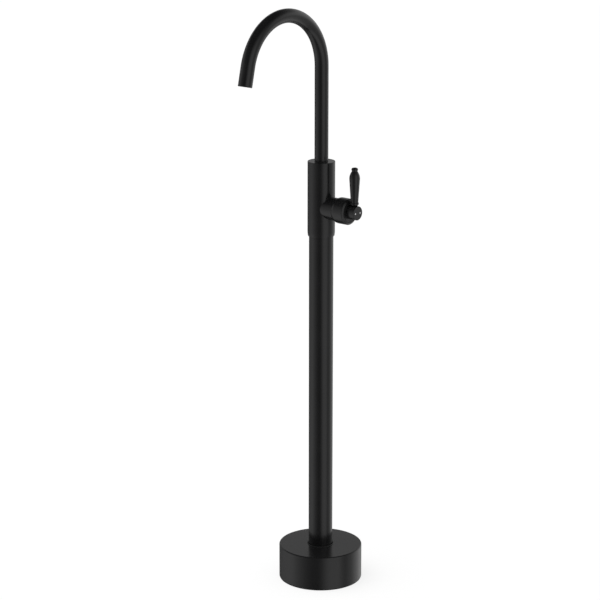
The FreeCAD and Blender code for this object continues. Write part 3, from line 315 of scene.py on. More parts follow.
class Maker:
    """Builds meshes in millimetres and hands them over as objects in metres."""

    @staticmethod
    def turned(name: str, outline: Outline, axis: Axis = Axis.COLUMN, sides: int = 128,
               closed: bool = True) -> Piece:
        """Turn an outline about an axis.

        Args:
            name: of the object.
            outline: half section.
            axis: line to turn about.
            sides: number of faces round.
            closed: whether the outline is a closed loop, or else runs from axis to axis.

        Returns:
            The new object.
        """
        mesh = bmesh.new()
        rings: Rings = []
        sharp: list[bool] = []
        for point, is_sharp in outline.points(closed):
            if point.x < FLAT:
                rings.append([mesh.verts.new((0, 0, point.y))])
            else:
                rings.append([mesh.verts.new((point.x * math.cos(FULL_TURN * i / sides),
                                              point.x * math.sin(FULL_TURN * i / sides), point.y))
                              for i in range(sides)])
            sharp.append(is_sharp)
        Maker.skin(mesh, rings, closed)
        Maker.mark_sharp(mesh, rings, sharp)
        Maker.flatten_poles(mesh, rings)
        return Maker.finish(name, mesh, placement(axis))

    @staticmethod
    def skin(mesh: bmesh.types.BMesh, rings: Rings, closed: bool) -> None:
        """Join rings of points with faces.

        Args:
            mesh: that holds the points.
            rings: points round, in order along the outline; a ring of one point is a pole.
            closed: whether the last ring joins the first.
        """
        pairs = list(zip(rings, rings[1:]))
        if closed:
            pairs.append((rings[-1], rings[0]))
        for low, high in pairs:
            sides = max(len(low), len(high))
            if len(low) == len(high) == 1:
                continue
            for i in range(sides):
                j = (i + 1) % sides
                if len(low) == 1:
                    mesh.faces.new((low[0], high[j], high[i]))
                elif len(high) == 1:
                    mesh.faces.new((low[i], low[j], high[0]))
                else:
                    mesh.faces.new((low[i], low[j], high[j], high[i]))

    @staticmethod
    def mark_sharp(mesh: bmesh.types.BMesh, rings: Rings, sharp: list[bool]) -> None:
        """Smooth all faces but keep the edges of the sharp rings.

        Args:
            mesh: that holds the points.
            rings: points round, in order.
            sharp: one flag for each ring.
        """
        for face in mesh.faces:
            face.smooth = True
        for ring, is_sharp in zip(rings, sharp):
            if not is_sharp or len(ring) == 1:
                continue
            for i, vert in enumerate(ring):
                edge = mesh.edges.get((vert, ring[(i + 1) % len(ring)]))
                if edge is not None:
                    edge.smooth = False

    @staticmethod
    def flatten_poles(mesh: bmesh.types.BMesh, rings: Rings) -> None:
        """Turn the fan of each flat end into one face, which solids can be cut from cleanly.

        Args:
            mesh: that holds the points.
            rings: points round, in order; a ring of one point is a pole.
        """
        poles = [ring[0] for ring in rings if len(ring) == 1]
        flat = [pole for pole in poles
                if all(abs(edge.other_vert(pole).co.z - pole.co.z) < FLAT
                       for edge in pole.link_edges)]
        bmesh.ops.dissolve_verts(mesh, verts=flat)

    @staticmethod
    def finish(name: str, mesh: bmesh.types.BMesh, matrix: Matrix) -> Piece:
        """Turn a working mesh into an object of the scene.

        Args:
            name: of the object.
            mesh: working mesh in millimetres; it is freed.
            matrix: from the mesh's frame to the object's, in millimetres.

        Returns:
            The new object, at the origin.
        """
        mesh.transform(Matrix.Scale(MM, 4) @ matrix)
        bmesh.ops.recalc_face_normals(mesh, faces=mesh.faces)
        data = bpy.data.meshes.new(name)
        mesh.to_mesh(data)
        mesh.free()
        return placed(name, data)

    @staticmethod
    def joined(piece: Piece, others: list[Piece], operation: str) -> None:
        """Add other solids to a piece or cut them from it, and delete them.

        Args:
            piece: that is changed.
            others: closed meshes.
            operation: UNION or DIFFERENCE.
        """
        for other in others:
            tool = piece.modifiers.new("join", "BOOLEAN")
            tool.operation = operation
            tool.solver = "EXACT"
            tool.object = other
            graph = bpy.context.evaluated_depsgraph_get()
            data = bpy.data.meshes.new_from_object(piece.evaluated_get(graph))
            piece.modifiers.clear()
            piece.data = data
            bpy.data.objects.remove(other, do_unlink=True)
        piece.data.name = piece.name
        piece.data.set_sharp_from_angle(angle=math.radians(SHARP_FOLD))

    @staticmethod
    def true_walls(piece: Piece, walls: list[RoundWall]) -> None:
        """Shade the faces on round walls as the walls' own curves, however they were cut.

        Args:
            piece: that is changed.
            walls: its round walls.
        """
        data = piece.data
        normals = [corner.vector.copy() for corner in data.corner_normals]
        for face in data.polygons:
            points = [data.vertices[i].co / MM for i in face.vertices]
            for wall in walls:
                found = wall.normals(points)
                facing = found[0].dot(face.normal) if found else 0.0
                if abs(facing) > ALONG_WALL:
                    for loop, normal in zip(face.loop_indices, found):
                        normals[loop] = normal * math.copysign(1.0, facing)
                    break
        data.normals_split_custom_set(normals)

    @staticmethod
    def rod(radius: float, start: Vector, end: Vector, sides: int = 64) -> Piece:
        """Closed round bar between two points, used as a tool for cutting.

        Args:
            radius: of the bar.
            start: centre of one end.
            end: centre of the other end.
            sides: number of faces round.

        Returns:
            The new object.
        """
        mesh = bmesh.new()
        length = (end - start).length
        bmesh.ops.create_cone(mesh, cap_ends=True, segments=sides, radius1=radius, radius2=radius,
                              depth=length)
        turn = (end - start).to_track_quat("Z", "Y").to_matrix().to_4x4()
        for face in mesh.faces:
            face.smooth = len(face.verts) == 4
        return Maker.finish("tool", mesh, Matrix.Translation((start + end) / 2) @ turn)


# ---- shader graphs ----
class Graph:
    """Node tree with one method for any node."""

    def __init__(self, tree: bpy.types.NodeTree) -> None:
        """Keep the tree and empty it."""
        self.tree = tree
        tree.nodes.clear()

    def add(self, kind: str, sockets: dict | None = None,
            settings: dict | None = None) -> bpy.types.Node:
        """Add a node.

        Args:
            kind: the node's type, such as Math.
            sockets: its inputs by name or number; each is a plain value, a socket or a Value.
            settings: its properties, set before the inputs.

        Returns:
            The new node.
        """
        node = self.tree.nodes.new("ShaderNode" + kind)
        for key, value in (settings or {}).items():
            setattr(node, key, value)
        for key, value in (sockets or {}).items():
            socket = node.inputs[key]
            if isinstance(value, Value):
                self.tree.links.new(value.socket, socket)
            elif isinstance(value, Socket):
                self.tree.links.new(value, socket)
            else:
                socket.default_value = value
        return node

    def value(self, node: bpy.types.Node, output: str | int = 0) -> "Value":
        """Wrap a node's output for arithmetic."""
        return Value(self, node.outputs[output])


class Value:
    """Number socket with arithmetic: each operator adds its Math node."""

    def __init__(self, graph: Graph, socket: Socket) -> None:
        """Keep the graph and the socket."""
        self.graph = graph
        self.socket = socket

    def math(self, operation: str, *operands: "Value | float") -> "Value":
        """Add one Math node.

        Args:
            operation: such as MULTIPLY.
            operands: its inputs in order.

        Returns:
            The node's result.
        """
        node = self.graph.add("Math", dict(enumerate(operands)), {"operation": operation})
        return Value(self.graph, node.outputs[0])

    def __add__(self, other: "Value | float") -> "Value":
        """Sum."""
        return self.math("ADD", self, other)

    __radd__ = __add__

    def __mul__(self, other: "Value | float") -> "Value":
        """Product."""
        return self.math("MULTIPLY", self, other)

    __rmul__ = __mul__

    def __sub__(self, other: "Value | float") -> "Value":
        """Difference."""
        return self.math("SUBTRACT", self, other)

    def __rsub__(self, other: float) -> "Value":
        """Difference, with the number first."""
        return self.math("SUBTRACT", other, self)

    def __truediv__(self, other: "Value | float") -> "Value":
        """Quotient."""
        return self.math("DIVIDE", self, other)

    def __pow__(self, other: "Value | float") -> "Value":
        """Power."""
        return self.math("POWER", self, other)

    def __abs__(self) -> "Value":
        """Size without its sign."""
        return self.math("ABSOLUTE", self)

    def smooth_step(self, low: float, high: float) -> "Value":
        """Smooth ramp from 0 at low to 1 at high.

        Args:
            low: value that gives 0.
            high: value that gives 1; it may be the lower of the two.

        Returns:
            The ramp.
        """
        flipped = high < low
        limits = {"Value": self, "From Min": min(low, high), "From Max": max(low, high)}
        node = self.graph.add("MapRange", limits, {"interpolation_type": "SMOOTHSTEP"})
        ramp = self.graph.value(node, "Result")
        return 1.0 - ramp if flipped else ramp


# ---- finishes ----
@dataclass(frozen=True)
class Finish:
    """What every finish has: colour, gloss and fine relief.

    The relief is in metres, and grain and mottle are counted in a metre. The patches are
    patch_scale times finer than the mottle, whose values over mottle_span give the shades.
    """

    colour: Colour
    roughness: float
    metallic: float = 0.0
    relief: float = 0.00001
    grain: float = 900.0
    mottle: float = 18.0
    colour_spread: float = 0.12
    roughness_spread: float = 0.03
    mottle_span: Pair = (0.35, 0.65)
    patch_scale: float = 5.0

    def material(self, name: str) -> bpy.types.Material:
        """Build the material.

        Args:
            name: of the material.

        Returns:
            A node material whose colour, gloss and relief vary over the surface.
        """
        material = bpy.data.materials.new(name)
        material.use_nodes = True
        graph = Graph(material.node_tree)
        place = graph.add("TexCoord").outputs["Object"]
        mottle = self.noise(graph, place, self.mottle, 4.0)
        height = self.height(graph, place)
        bump = graph.add("Bump", {"Strength": 1.0, "Distance": self.relief, "Height": height})
        shader = graph.add("BsdfPrincipled", {
            "Base Color": self.tint(graph, mottle),
            "Roughness": self.gloss(graph, place, mottle),
            "Normal": bump.outputs[0],
            "Metallic": self.metallic,
        })
        graph.add("OutputMaterial", {"Surface": shader.outputs[0]})
        return material

    def noise(self, graph: Graph, place: Socket, scale: float, detail: float = 2.0) -> Value:
        """Noise over the surface, 0 to 1 round 0.5.

        Args:
            graph: to add to.
            place: coordinates in metres.
            scale: grains in a metre.
            detail: number of finer layers.

        Returns:
            The noise.
        """
        node = graph.add("TexNoise", {"Vector": place, "Scale": scale, "Detail": detail})
        return graph.value(node)

    def height(self, graph: Graph, place: Socket) -> Value:
        """Height of the fine relief: plain grain."""
        return self.noise(graph, place, self.grain)

    def tint(self, graph: Graph, mottle: Value) -> Socket:
        """Mix the base colour.

        Args:
            graph: to add to.
            mottle: slow noise over the surface.

        Returns:
            A colour between a darker and a lighter shade of the finish.
        """
        darker, lighter = (tuple(c * (1 + side * self.colour_spread) for c in self.colour) + (1.0,)
                           for side in (-1, 1))
        mix = graph.add("Mix", {0: mottle.smooth_step(*self.mottle_span), 6: darker, 7: lighter},
                        {"data_type": "RGBA"})
        return mix.outputs[2]

    def gloss(self, graph: Graph, place: Socket, mottle: Value) -> Value:
        """Vary the roughness.

        Args:
            graph: to add to.
            place: coordinates in metres.
            mottle: slow noise over the surface.

        Returns:
            Roughness that varies gently, with small rubbed patches.
        """
        patch = self.noise(graph, place, self.mottle * self.patch_scale)
        slow = (mottle - 0.5) * (2 * self.roughness_spread)
        return self.roughness + slow + (patch - 0.5) * self.roughness_spread


@dataclass(frozen=True)
class PowderCoat(Finish):
    """Satin powder coat with a fine orange peel, peel high and peel_size times in a metre."""

    peel: float = 0.00003
    peel_size: float = 260.0

    def height(self, graph: Graph, place: Socket) -> Value:
        """Orange peel with a much finer grain on it."""
        peel = self.noise(graph, place, self.peel_size, 1.0)
        return peel * (self.peel / self.relief) + super().height(graph, place)


@dataclass(frozen=True)
class TurnedMetal(Finish):
    """Bare metal with the fine rings of the lathe."""

    ring_pitch: float = 0.00025
    ring_share: float = 0.7

    def height(self, graph: Graph, place: Socket) -> Value:
        """Lay the lathe's marks.

        Args:
            graph: to add to.
            place: coordinates in metres.

        Returns:
            Rings across the column's axis, broken up by a little grain.
        """
        split = graph.add("SeparateXYZ", {0: place})
        x, y, z = (graph.value(split, i) for i in range(3))
        radius = (x * x + y * y) ** 0.5
        row = graph.add("CombineXYZ", {"X": radius / self.ring_pitch, "Z": z / self.ring_pitch})
        rings = self.noise(graph, row.outputs[0], 1.0)
        return rings * self.ring_share + super().height(graph, place) * (1 - self.ring_share)


@dataclass(frozen=True)
class Moulded(Finish):
    """Plastic or rubber with the pitted skin of its mould."""

    pit_size: float = 1500.0
    pit_share: float = 0.6

    def height(self, graph: Graph, place: Socket) -> Value:
        """Small pits in a fine grain."""
        pits = graph.add("TexVoronoi", {"Vector": place, "Scale": self.pit_size})
        grain = super().height(graph, place)
        return graph.value(pits) * self.pit_share + grain * (1 - self.pit_share)


FINISHES: dict[str, Finish] = {
    "matte_black": PowderCoat((0.0078, 0.0078, 0.0081), 0.21, grain=1400.0, relief=0.000004,
                              peel=0.000012),
    "black_rubber": Moulded((0.012, 0.012, 0.0125), 0.58, relief=0.00002),
    "steel": TurnedMetal((0.56, 0.56, 0.57), 0.3, metallic=1.0, relief=0.000012,
                         colour_spread=0.06),
    "brass": TurnedMetal((0.72, 0.53, 0.25), 0.28, metallic=1.0, relief=0.000012,
                         colour_spread=0.08),
    "ceramic": Moulded((0.83, 0.82, 0.78), 0.12, relief=0.000004, colour_spread=0.03),
    "pale_plastic": Moulded((0.68, 0.68, 0.64), 0.38, relief=0.00001, colour_spread=0.04),
    "dark_plastic": Moulded((0.022, 0.022, 0.023), 0.42, relief=0.000012),
    "index_grey": Moulded((0.62, 0.62, 0.62), 0.3, relief=0.000004, colour_spread=0.05),
}


class PaintShop:
    """Holds one material for each finish and puts it on the pieces."""

    def __init__(self) -> None:
        """Build every finish once."""
        self.materials = {slot: finish.material(slot + "_finish")
                          for slot, finish in FINISHES.items()}
        self.slot_of = {part["node"]: part["material_slot"]
                        for part in frame["record"]["subparts"]}

    def dress(self, piece: Piece, slot: str) -> None:
        """Give a piece its finish.

        Args:
            piece: new object or node of the frame.
            slot: name of the finish.
        """
        if not piece.material_slots:
            piece.data.materials.append(None)
        for holder in piece.material_slots:
            holder.link = "OBJECT"
            holder.material = self.materials[slot]

    def dress_frame(self) -> None:
        """Dress every node of the frame."""
        for name, node in frame["nodes"].items():
            self.dress(node, self.slot_of[name])


# ---- sub-assemblies ----
@dataclass
class SubAssembly:
    """Pieces of one group: subclasses build them, and this class mounts and dresses them."""

    body: Body = Body.STAND

    def build(self) -> Pieces:
        """Make the pieces.

        Returns:
            New objects by the name of the node that each stands for.
        """
        return {}

    def mount(self, shop: PaintShop) -> None:
        """Build the pieces, make them ride, and dress them.

        Args:
            shop: that holds the finishes.
        """
        for node, piece in self.build().items():
            slot = shop.slot_of[node]
            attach(piece, self.body.value)
            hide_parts(node)
            shop.dress(piece, slot)
            LOG.info("%s: %s, %d faces", type(self).__name__, piece.name,
                     len(piece.data.polygons))


@dataclass
class BaseCover(SubAssembly):
    """Drum over the floor fixing, with its two rubber rings."""

    body: Body = Body.COVER
    wall: float = 1.5
    top_edge: float = 1.8
    low_edge: float = 0.4
    guide_depth: float = 4.0
    guide_wall: float = 3.0
    column_gap: float = 0.3
    rubber_gap: float = 0.05
    rubber_edge: float = 0.2
    lip_edge: float = 0.3
    lip_reach: float = 3.0
    seal_sides: int = 24
    sides: int = 192

    def build(self) -> Pieces:
        """Make the drum, the collar seal and the foot ring."""
        return {"base_cover": self.shell(), "cover_collar_seal": self.collar_seal(),
                "cover_foot_ring": self.foot_ring()}

    def shell(self) -> Piece:
        """Turn the drum.

        Returns:
            Drum with a rolled top edge, a seat for the seal and a guide round the column.
        """
        drum = Extent.of("base_cover")
        seal = Extent.of("cover_collar_seal")
        column = Extent.of("column_tube").half.x
        section = seal.half.z
        outer, low, top = drum.half.x, drum.low.z, drum.high.z
        bore = column + self.column_gap
        ring = seal.half.x - section
        seat_end = math.acos((ring - bore) / section) - math.pi
        ceiling = top - self.wall
        outline = Outline().to(outer, low, self.low_edge).to(outer, top, self.top_edge)
        outline.arc((ring, top), section, 0, seat_end)
        outline.to(bore, ceiling - self.guide_depth, self.low_edge)
        outline.to(bore + self.guide_wall, ceiling - self.guide_depth, self.low_edge)
        outline.to(bore + self.guide_wall, ceiling, self.low_edge)
        outline.to(outer - self.wall, ceiling, self.top_edge)
        outline.to(outer - self.wall, low, self.low_edge)
        return Maker.turned("base_cover_shell", outline, sides=self.sides)

    def collar_seal(self) -> Piece:
        """Turn the round rubber ring at the column.

        Returns:
            The new object.
        """
        seal = Extent.of("cover_collar_seal")
        section = seal.half.z
        steps = self.seal_sides - 1
        outline = Outline().arc((seal.half.x - section, seal.centre.z), section, 0,
                                FULL_TURN * steps / self.seal_sides, steps)
        return Maker.turned("collar_seal_ring", outline, sides=self.sides)

    def foot_ring(self) -> Piece:
        """Turn the rubber ring under the drum.

        Returns:
            Ring with a lip inside the drum.
        """
        ring = Extent.of("cover_foot_ring")
        drum = Extent.of("base_cover")
        outer, low, top, seat = ring.half.x, ring.low.z, ring.high.z, drum.low.z
        lip_outer = drum.half.x - self.wall - self.rubber_gap
        inner = outer - self.lip_reach
        outline = Outline().to(outer, low, self.rubber_edge).to(outer, seat, self.rubber_edge)
        outline.to(lip_outer, seat).to(lip_outer, top, self.lip_edge)
        outline.to(inner, top, self.lip_edge).to(inner, low, self.rubber_edge)
        return Maker.turned("foot_ring", outline, sides=self.sides)


@dataclass
class Column(SubAssembly):
    """Plain tube between base and mixer body."""

    wall: float = 1.5
    edge: float = 0.3
    sides: int = 128

    def build(self) -> Pieces:
        """Make the tube.

        Returns:
            The tube by its node's name.
        """
        tube = Extent.of("column_tube")
        outer, inner = tube.half.x, tube.half.x - self.wall
        outline = Outline().to(outer, tube.low.z, self.edge).to(outer, tube.high.z, self.edge)
        outline.to(inner, tube.high.z, self.edge).to(inner, tube.low.z, self.edge)
        return {"column_tube": Maker.turned("column_pipe", outline, sides=self.sides)}


@dataclass
class MixerBody(SubAssembly):
    """Barrel with its side stub, hollowed for cartridge, column and spout."""

    shoulder: float = 11.0
    foot_radius: float = 24.1
    foot_height: float = 2.6
    foot_wall: float = 0.1
    top_edge: float = 0.6
    stub_radius: float = 20.8
    stub_end: float = 40.0
    neck_radius: float = 20.0
    chamber_radius: float = 17.8
    nut_radius: float = 18.6
    seat_depth: float = 3.0
    fit_gap: float = 0.05
    bush_wall: float = 2.0
    nipple_room: float = 0.3
    screw_gap: float = 0.03
    beyond: float = 5.0
    washer_edge: float = 0.2
    washer_inner_edge: float = 0.1
    washer_sides: int = 96
    sides: int = 160

    def build(self) -> Pieces:
        """Make the body and the ring under the spout."""
        return {"mixer_body": self.casting(), "glide_ring": self.glide_ring()}

    def casting(self) -> Piece:
        """Join barrel and stub and cut their hollows.

        Returns:
            The casting, with the two screw holes at its back.
        """
        body = Extent.of("mixer_body")
        radius = -body.low.x
        column = Extent.of("column_tube").half.x
        step = body.low.z + self.foot_height
        outline = Outline().to(0, body.low.z).to(column + self.foot_wall, body.low.z)
        outline.to(column + self.foot_wall, step).to(self.foot_radius, step)
        outline.bow((radius, body.low.z + self.shoulder))
        outline.to(radius, body.high.z, self.top_edge).to(0, body.high.z)
        barrel = Maker.turned("mixer_casting", outline, sides=self.sides, closed=False)
        section = Outline().to(0, 0).to(self.stub_radius, 0).to(self.stub_radius, self.stub_end)
        section.to(self.neck_radius, self.stub_end).to(self.neck_radius, body.high.x)
        section.to(0, body.high.x)
        stub = Maker.turned("stub", section, Axis.HANDLE, self.sides, closed=False)
        Maker.joined(barrel, [stub], "UNION")
        Maker.joined(barrel, self.hollows(body), "DIFFERENCE")
        Maker.true_walls(barrel, [RoundWall(Axis.COLUMN, radius),
                                  RoundWall(Axis.HANDLE, self.stub_radius)])
        return barrel

    def hollows(self, body: Extent) -> list[Piece]:
        """Solids to cut from the casting.

        Args:
            body: extent of the casting.

        Returns:
            Closed meshes, one for each hollow.
        """
        base = Extent.of("cartridge_base")
        nut = Extent.of("cartridge_nut")
        bush = Extent.of("spout_bush")
        nipple = Extent.of("spout_nipple")
        adaptor = Extent.of("column_adaptor")
        handle_height = Extent.of("handle_hub").centre.z

        def across(x: float) -> Vector:
            """Point of the handle's axis."""
            return Vector((x, 0, handle_height))

        def up(z: float) -> Vector:
            """Point of the column's axis."""
            return Vector((0, 0, z))

        mouth = across(body.high.x + self.beyond)
        cuts = [
            Maker.rod(self.chamber_radius, across(base.low.x + self.seat_depth), mouth, self.sides),
            Maker.rod(self.nut_radius, across(nut.low.x), mouth, self.sides),
            Maker.rod(adaptor.half.x + self.fit_gap, up(body.low.z - self.beyond),
                      up(adaptor.high.z)),
            Maker.rod(bush.half.x + self.fit_gap, up(bush.low.z), up(body.high.z + self.beyond)),
            Maker.rod(bush.half.x - self.bush_wall, up(nipple.low.z - self.nipple_room),
                      up(bush.low.z + self.beyond)),
        ]
        for node in ("body_lock_screw", "spout_retaining_screw"):
            screw = Extent.of(node)
            cuts.append(Maker.rod(screw.half.x + self.screw_gap,
                                  Vector((0, screw.low.y, screw.centre.z)),
                                  Vector((0, body.high.y + self.beyond, screw.centre.z)),
                                  SCREW_SIDES))
        return cuts

    def glide_ring(self) -> Piece:
        """Turn the thin washer that the spout's foot turns on.

        Returns:
            The new object.
        """
        ring = Extent.of("glide_ring")
        outer, low, top = ring.half.x, ring.low.z, ring.high.z
        inner = Extent.of("spout_bush").half.x - self.bush_wall
        outline = Outline().to(outer, low, self.washer_edge).to(outer, top, self.washer_edge)
        outline.to(inner, top, self.washer_inner_edge).to(inner, low, self.washer_inner_edge)
        return Maker.turned("glide_washer", outline, sides=self.washer_sides)


@dataclass
class Spout(SubAssembly):
    """Swan neck tube."""

    body: Body = Body.SPOUT
    wall: float = 1.5
    bend_radius: float = 100.0
    bend_angle: float = 167.0
    straight: float = 171.0
    end_length: float = 34.7
    end_shares: tuple[float, ...] = (0.25, 0.5, 0.75, 0.9, 1.0)
    lip: float = 0.5
    lip_steps: int = 4
    sides: int = 96
    bend_steps: int = 84
    straight_steps: int = 24

    def centre_line(self) -> list[tuple[Vector, Vector]]:
        """Points along the tube.

        Returns:
            Each point with the direction across the tube that points away from the bend's centre.
        """
        foot = Extent.of("spout_tube").low.z
        bend_start = foot + self.straight
        centre = Vector((0, -self.bend_radius, bend_start))
        line = [(Vector((0, 0, foot + self.straight * i / self.straight_steps)),
                 Vector((0, 1, 0))) for i in range(self.straight_steps)]
        for i in range(self.bend_steps + 1):
            angle = math.radians(self.bend_angle * i / self.bend_steps)
            outward = Vector((0, math.cos(angle), math.sin(angle)))
            line.append((centre + outward * self.bend_radius, outward))
        last, outward = line[-1]
        ahead = Vector((0, -outward.z, outward.y))
        for share in self.end_shares:
            line.append((last + ahead * (self.end_length * share), outward))
        return line

    def build(self) -> Pieces:
        """Make the tube, from its foot up the outside, over the mouth's round lip and back inside.

        Returns:
            The tube by its node's name.
        """
        outer = Extent.of("spout_tube").half.x
        inner = outer - self.wall
        line = self.centre_line()
        end, outward = line[-1]
        ahead = Vector((0, -outward.z, outward.y))
        stations = [(point, across, outer) for point, across in line[:-1]]
        stations.append((end - ahead * self.lip, outward, outer))
        for i in range(1, self.lip_steps + 1):
            angle = math.pi / 2 * i / self.lip_steps
            stations.append((end - ahead * (self.lip * (1 - math.sin(angle))), outward,
                             outer - self.lip * (1 - math.cos(angle))))
        stations.append((end, outward, inner))
        first_inside = len(stations)
        stations += [(point, across, inner) for point, across in reversed(line[:-1])]
        mesh = bmesh.new()
        rings = []
        for point, across, radius in stations:
            ring = []
            for i in range(self.sides):
                angle = FULL_TURN * i / self.sides
                offset = Vector((1, 0, 0)) * math.cos(angle) + across * math.sin(angle)
                ring.append(mesh.verts.new(point + offset * radius))
            rings.append(ring)
        Maker.skin(mesh, rings, closed=True)
        sharp = [i in (0, first_inside, len(rings) - 1) for i in range(len(rings))]
        Maker.mark_sharp(mesh, rings, sharp)
        return {"spout_tube": Maker.finish("swan_neck", mesh, Matrix.Identity(4))}


@dataclass
class CapRing(SubAssembly):
    """Ring round the handle's root."""

    rear_radius: float = 21.6
    flare: float = 7.0
    bevel_rise: float = 2.2
    bevel_inset: float = 3.7
    bore: float = 22.4
    neck_bore: float = 20.05
    step: float = 46.3
    edge: float = 1.3
    lip_edge: float = 0.25
    rear_edge: float = 0.2
    sides: int = 128

    def build(self) -> Pieces:
        """Make the ring, with a bore as round as the dome behind its lip.

        Returns:
            The ring by its node's name.
        """
        ring = Extent.of("cap_ring")
        rear, front, outer = ring.low.x, ring.high.x, ring.half.y
        lip_angle = math.asin((front - PIVOT) / self.bore)
        outline = Outline().to(self.neck_bore, rear, self.rear_edge).to(self.rear_radius, rear)
        outline.bow((outer, rear + self.flare))
        outline.to(outer, front - self.bevel_rise, self.edge)
        outline.to(outer - self.bevel_inset, front, self.lip_edge)
        outline.arc((0, PIVOT), self.bore, lip_angle, 0)
        outline.to(self.bore, self.step).to(self.neck_bore, self.step)
        return {"cap_ring": Maker.turned("cap_collar", outline, Axis.HANDLE, self.sides)}


@dataclass
class Handle(SubAssembly):
    """Dome, hub, baluster lever and the two index dots."""

    body: Body = Body.HANDLE
    dome_radius: float = 22.0
    dome_wall: float = 1.5
    dome_steps: int = 20
    skirt_angle: float = 82.0
    stem_hole: float = 4.54
    hub_edge: float = 0.6
    hub_screw: float = 2.0
    screw_gap: float = 0.02
    screw_depth: float = 3.0
    stud_depth: float = 5.8
    beyond: float = 2.0
    dot_crown: float = 0.3
    dot_turn: Pair = (0.6, 0.7)
    dot_room: float = 1.0
    dot_sides: int = 48
    foot_radius: float = 5.0
    cup_radius: float = 6.9
    cup_rise: float = 1.6
    bead_radius: float = 7.85
    bead_rise: float = 4.3
    bead_height: float = 3.1
    bead_band: float = 0.8
    bead_inset: float = 0.3
    waist_radius: float = 6.9
    waist_rise: float = 8.2
    belly_radius: float = 9.6
    belly_drop: float = 20.2
    neck_radius: float = 5.2
    neck_drop: float = 7.0
    knob_radius: float = 6.0
    knob_drop: float = 3.3
    crown: float = 0.9
    crown_steps: int = 6
    tip_inset: float = 1.3
    tip_wall: float = 1.6
    stud_radius: float = 2.5
    stud_length: float = 14.0
    sides: int = 128

    def build(self) -> Pieces:
        """Make the dome, the hub, the lever and the dots."""
        pieces = {"handle_dome": self.dome(), "handle_hub": self.hub(), "lever": self.lever()}
        for node in DOTS:
            pieces[node] = self.dot(node)
        return pieces

    def dome(self) -> Piece:
        """Turn the hollow part of a ball.

        Returns:
            Dome with a flat front, as thick there as at its side.
        """
        front = Extent.of("handle_hub").low.x
        outer, inner = self.dome_radius, self.dome_radius - self.dome_wall
        flat, centre = front - PIVOT, (0.0, PIVOT)
        skirt = math.radians(90 - self.skirt_angle)
        outline = Outline().to(self.stem_hole, front - self.dome_wall)
        outline.arc(centre, inner, math.asin((flat - self.dome_wall) / inner), skirt,
                    self.dome_steps)
        outline.arc(centre, outer, skirt, math.asin(flat / outer), self.dome_steps)
        outline.to(self.stem_hole, front)
        return Maker.turned("handle_ball", outline, Axis.HANDLE, self.sides)

    def hub(self) -> Piece:
        """Turn the short drum and cut its holes.

        Returns:
            Drum with a screw hole below, a stud hole above and two pockets in its end face.
        """
        hub = Extent.of("handle_hub")
        radius, height = hub.half.y, hub.centre.z
        outline = Outline().to(0, hub.low.x).to(radius, hub.low.x)
        outline.to(radius, hub.high.x, self.hub_edge).to(0, hub.high.x)
        drum = Maker.turned("handle_drum", outline, Axis.HANDLE, self.sides, closed=False)
        at = placement(Axis.LEVER).translation.x

        def above(rise: float) -> Vector:
            """Point of the lever's axis."""
            return Vector((at, 0, height + rise))

        cuts = [Maker.rod(self.hub_screw + self.screw_gap, above(-radius - self.beyond),
                          above(-self.screw_depth), SCREW_SIDES),
                Maker.rod(self.stud_radius, above(self.stud_depth), above(radius + self.beyond),
                          SCREW_SIDES)]
        for node in DOTS:
            dot = Extent.of(node)
            cuts.append(Maker.rod(dot.half.y, Vector((dot.low.x, dot.centre.y, height)),
                                  Vector((dot.high.x + self.dot_room, dot.centre.y, height)),
                                  self.dot_sides))
        Maker.joined(drum, cuts, "DIFFERENCE")
        Maker.true_walls(drum, [RoundWall(Axis.HANDLE, radius)])
        return drum

    def dot(self, node: str) -> Piece:
        """Inlaid disc, slightly crowned.

        Args:
            node: name of the dot.

        Returns:
            The new object.
        """
        dot = Extent.of(node)
        radius = dot.half.y
        reach, rise = self.dot_turn
        outline = Outline().to(0, dot.low.x).to(radius, dot.low.x).to(radius, dot.high.x)
        outline.to(radius * reach, dot.high.x + self.dot_crown * rise)
        outline.to(0, dot.high.x + self.dot_crown)
        piece = Maker.turned(node + "_inlay", outline, Axis.HANDLE, self.dot_sides, closed=False)
        piece.data.transform(Matrix.Translation((0, dot.centre.y * MM, 0)))
        return piece

    def lever(self) -> Piece:
        """Turn the baluster on the hub.

        Returns:
            Lever with foot, bead, swelling shank, neck and knob, bored for its stud.
        """
        height = Extent.of("handle_hub").centre.z
        hub_radius = Extent.of("handle_hub").half.y
        tip = Extent.of("lever").high.z - height
        bead = hub_radius + self.bead_rise
        bead_top = bead + self.bead_height / 2
        waist = hub_radius + self.waist_rise
        knob, knob_top = tip - self.knob_drop, tip - self.crown
        rim = self.knob_radius - self.tip_inset
        ball = (rim ** 2 + self.crown ** 2) / (2 * self.crown)
        outline = Outline().to(self.stud_radius, hub_radius).to(self.foot_radius, hub_radius)
        outline.through((self.cup_radius, hub_radius + self.cup_rise),
                        (self.bead_radius, bead - self.bead_band / 2))
        outline.to(self.bead_radius, bead + self.bead_band / 2)
        outline.through((self.bead_radius - self.bead_inset, bead_top - self.bead_inset / 2),
                        (self.waist_radius, bead_top), 5)
        outline.to(self.waist_radius, waist)
        self.shank(outline, waist, tip)
        outline.to(self.neck_radius, 2 * knob - knob_top)
        outline.through((self.knob_radius, knob), (rim, knob_top))
        outline.arc((0, tip - ball), ball, math.acos(rim / ball), math.pi / 2, self.crown_steps)
        outline.to(0, tip - self.tip_wall).to(self.stud_radius, hub_radius + self.stud_length)
        piece = Maker.turned("lever_baluster", outline, Axis.LEVER, self.sides)
        self.saddle(piece, height, hub_radius)
        return piece

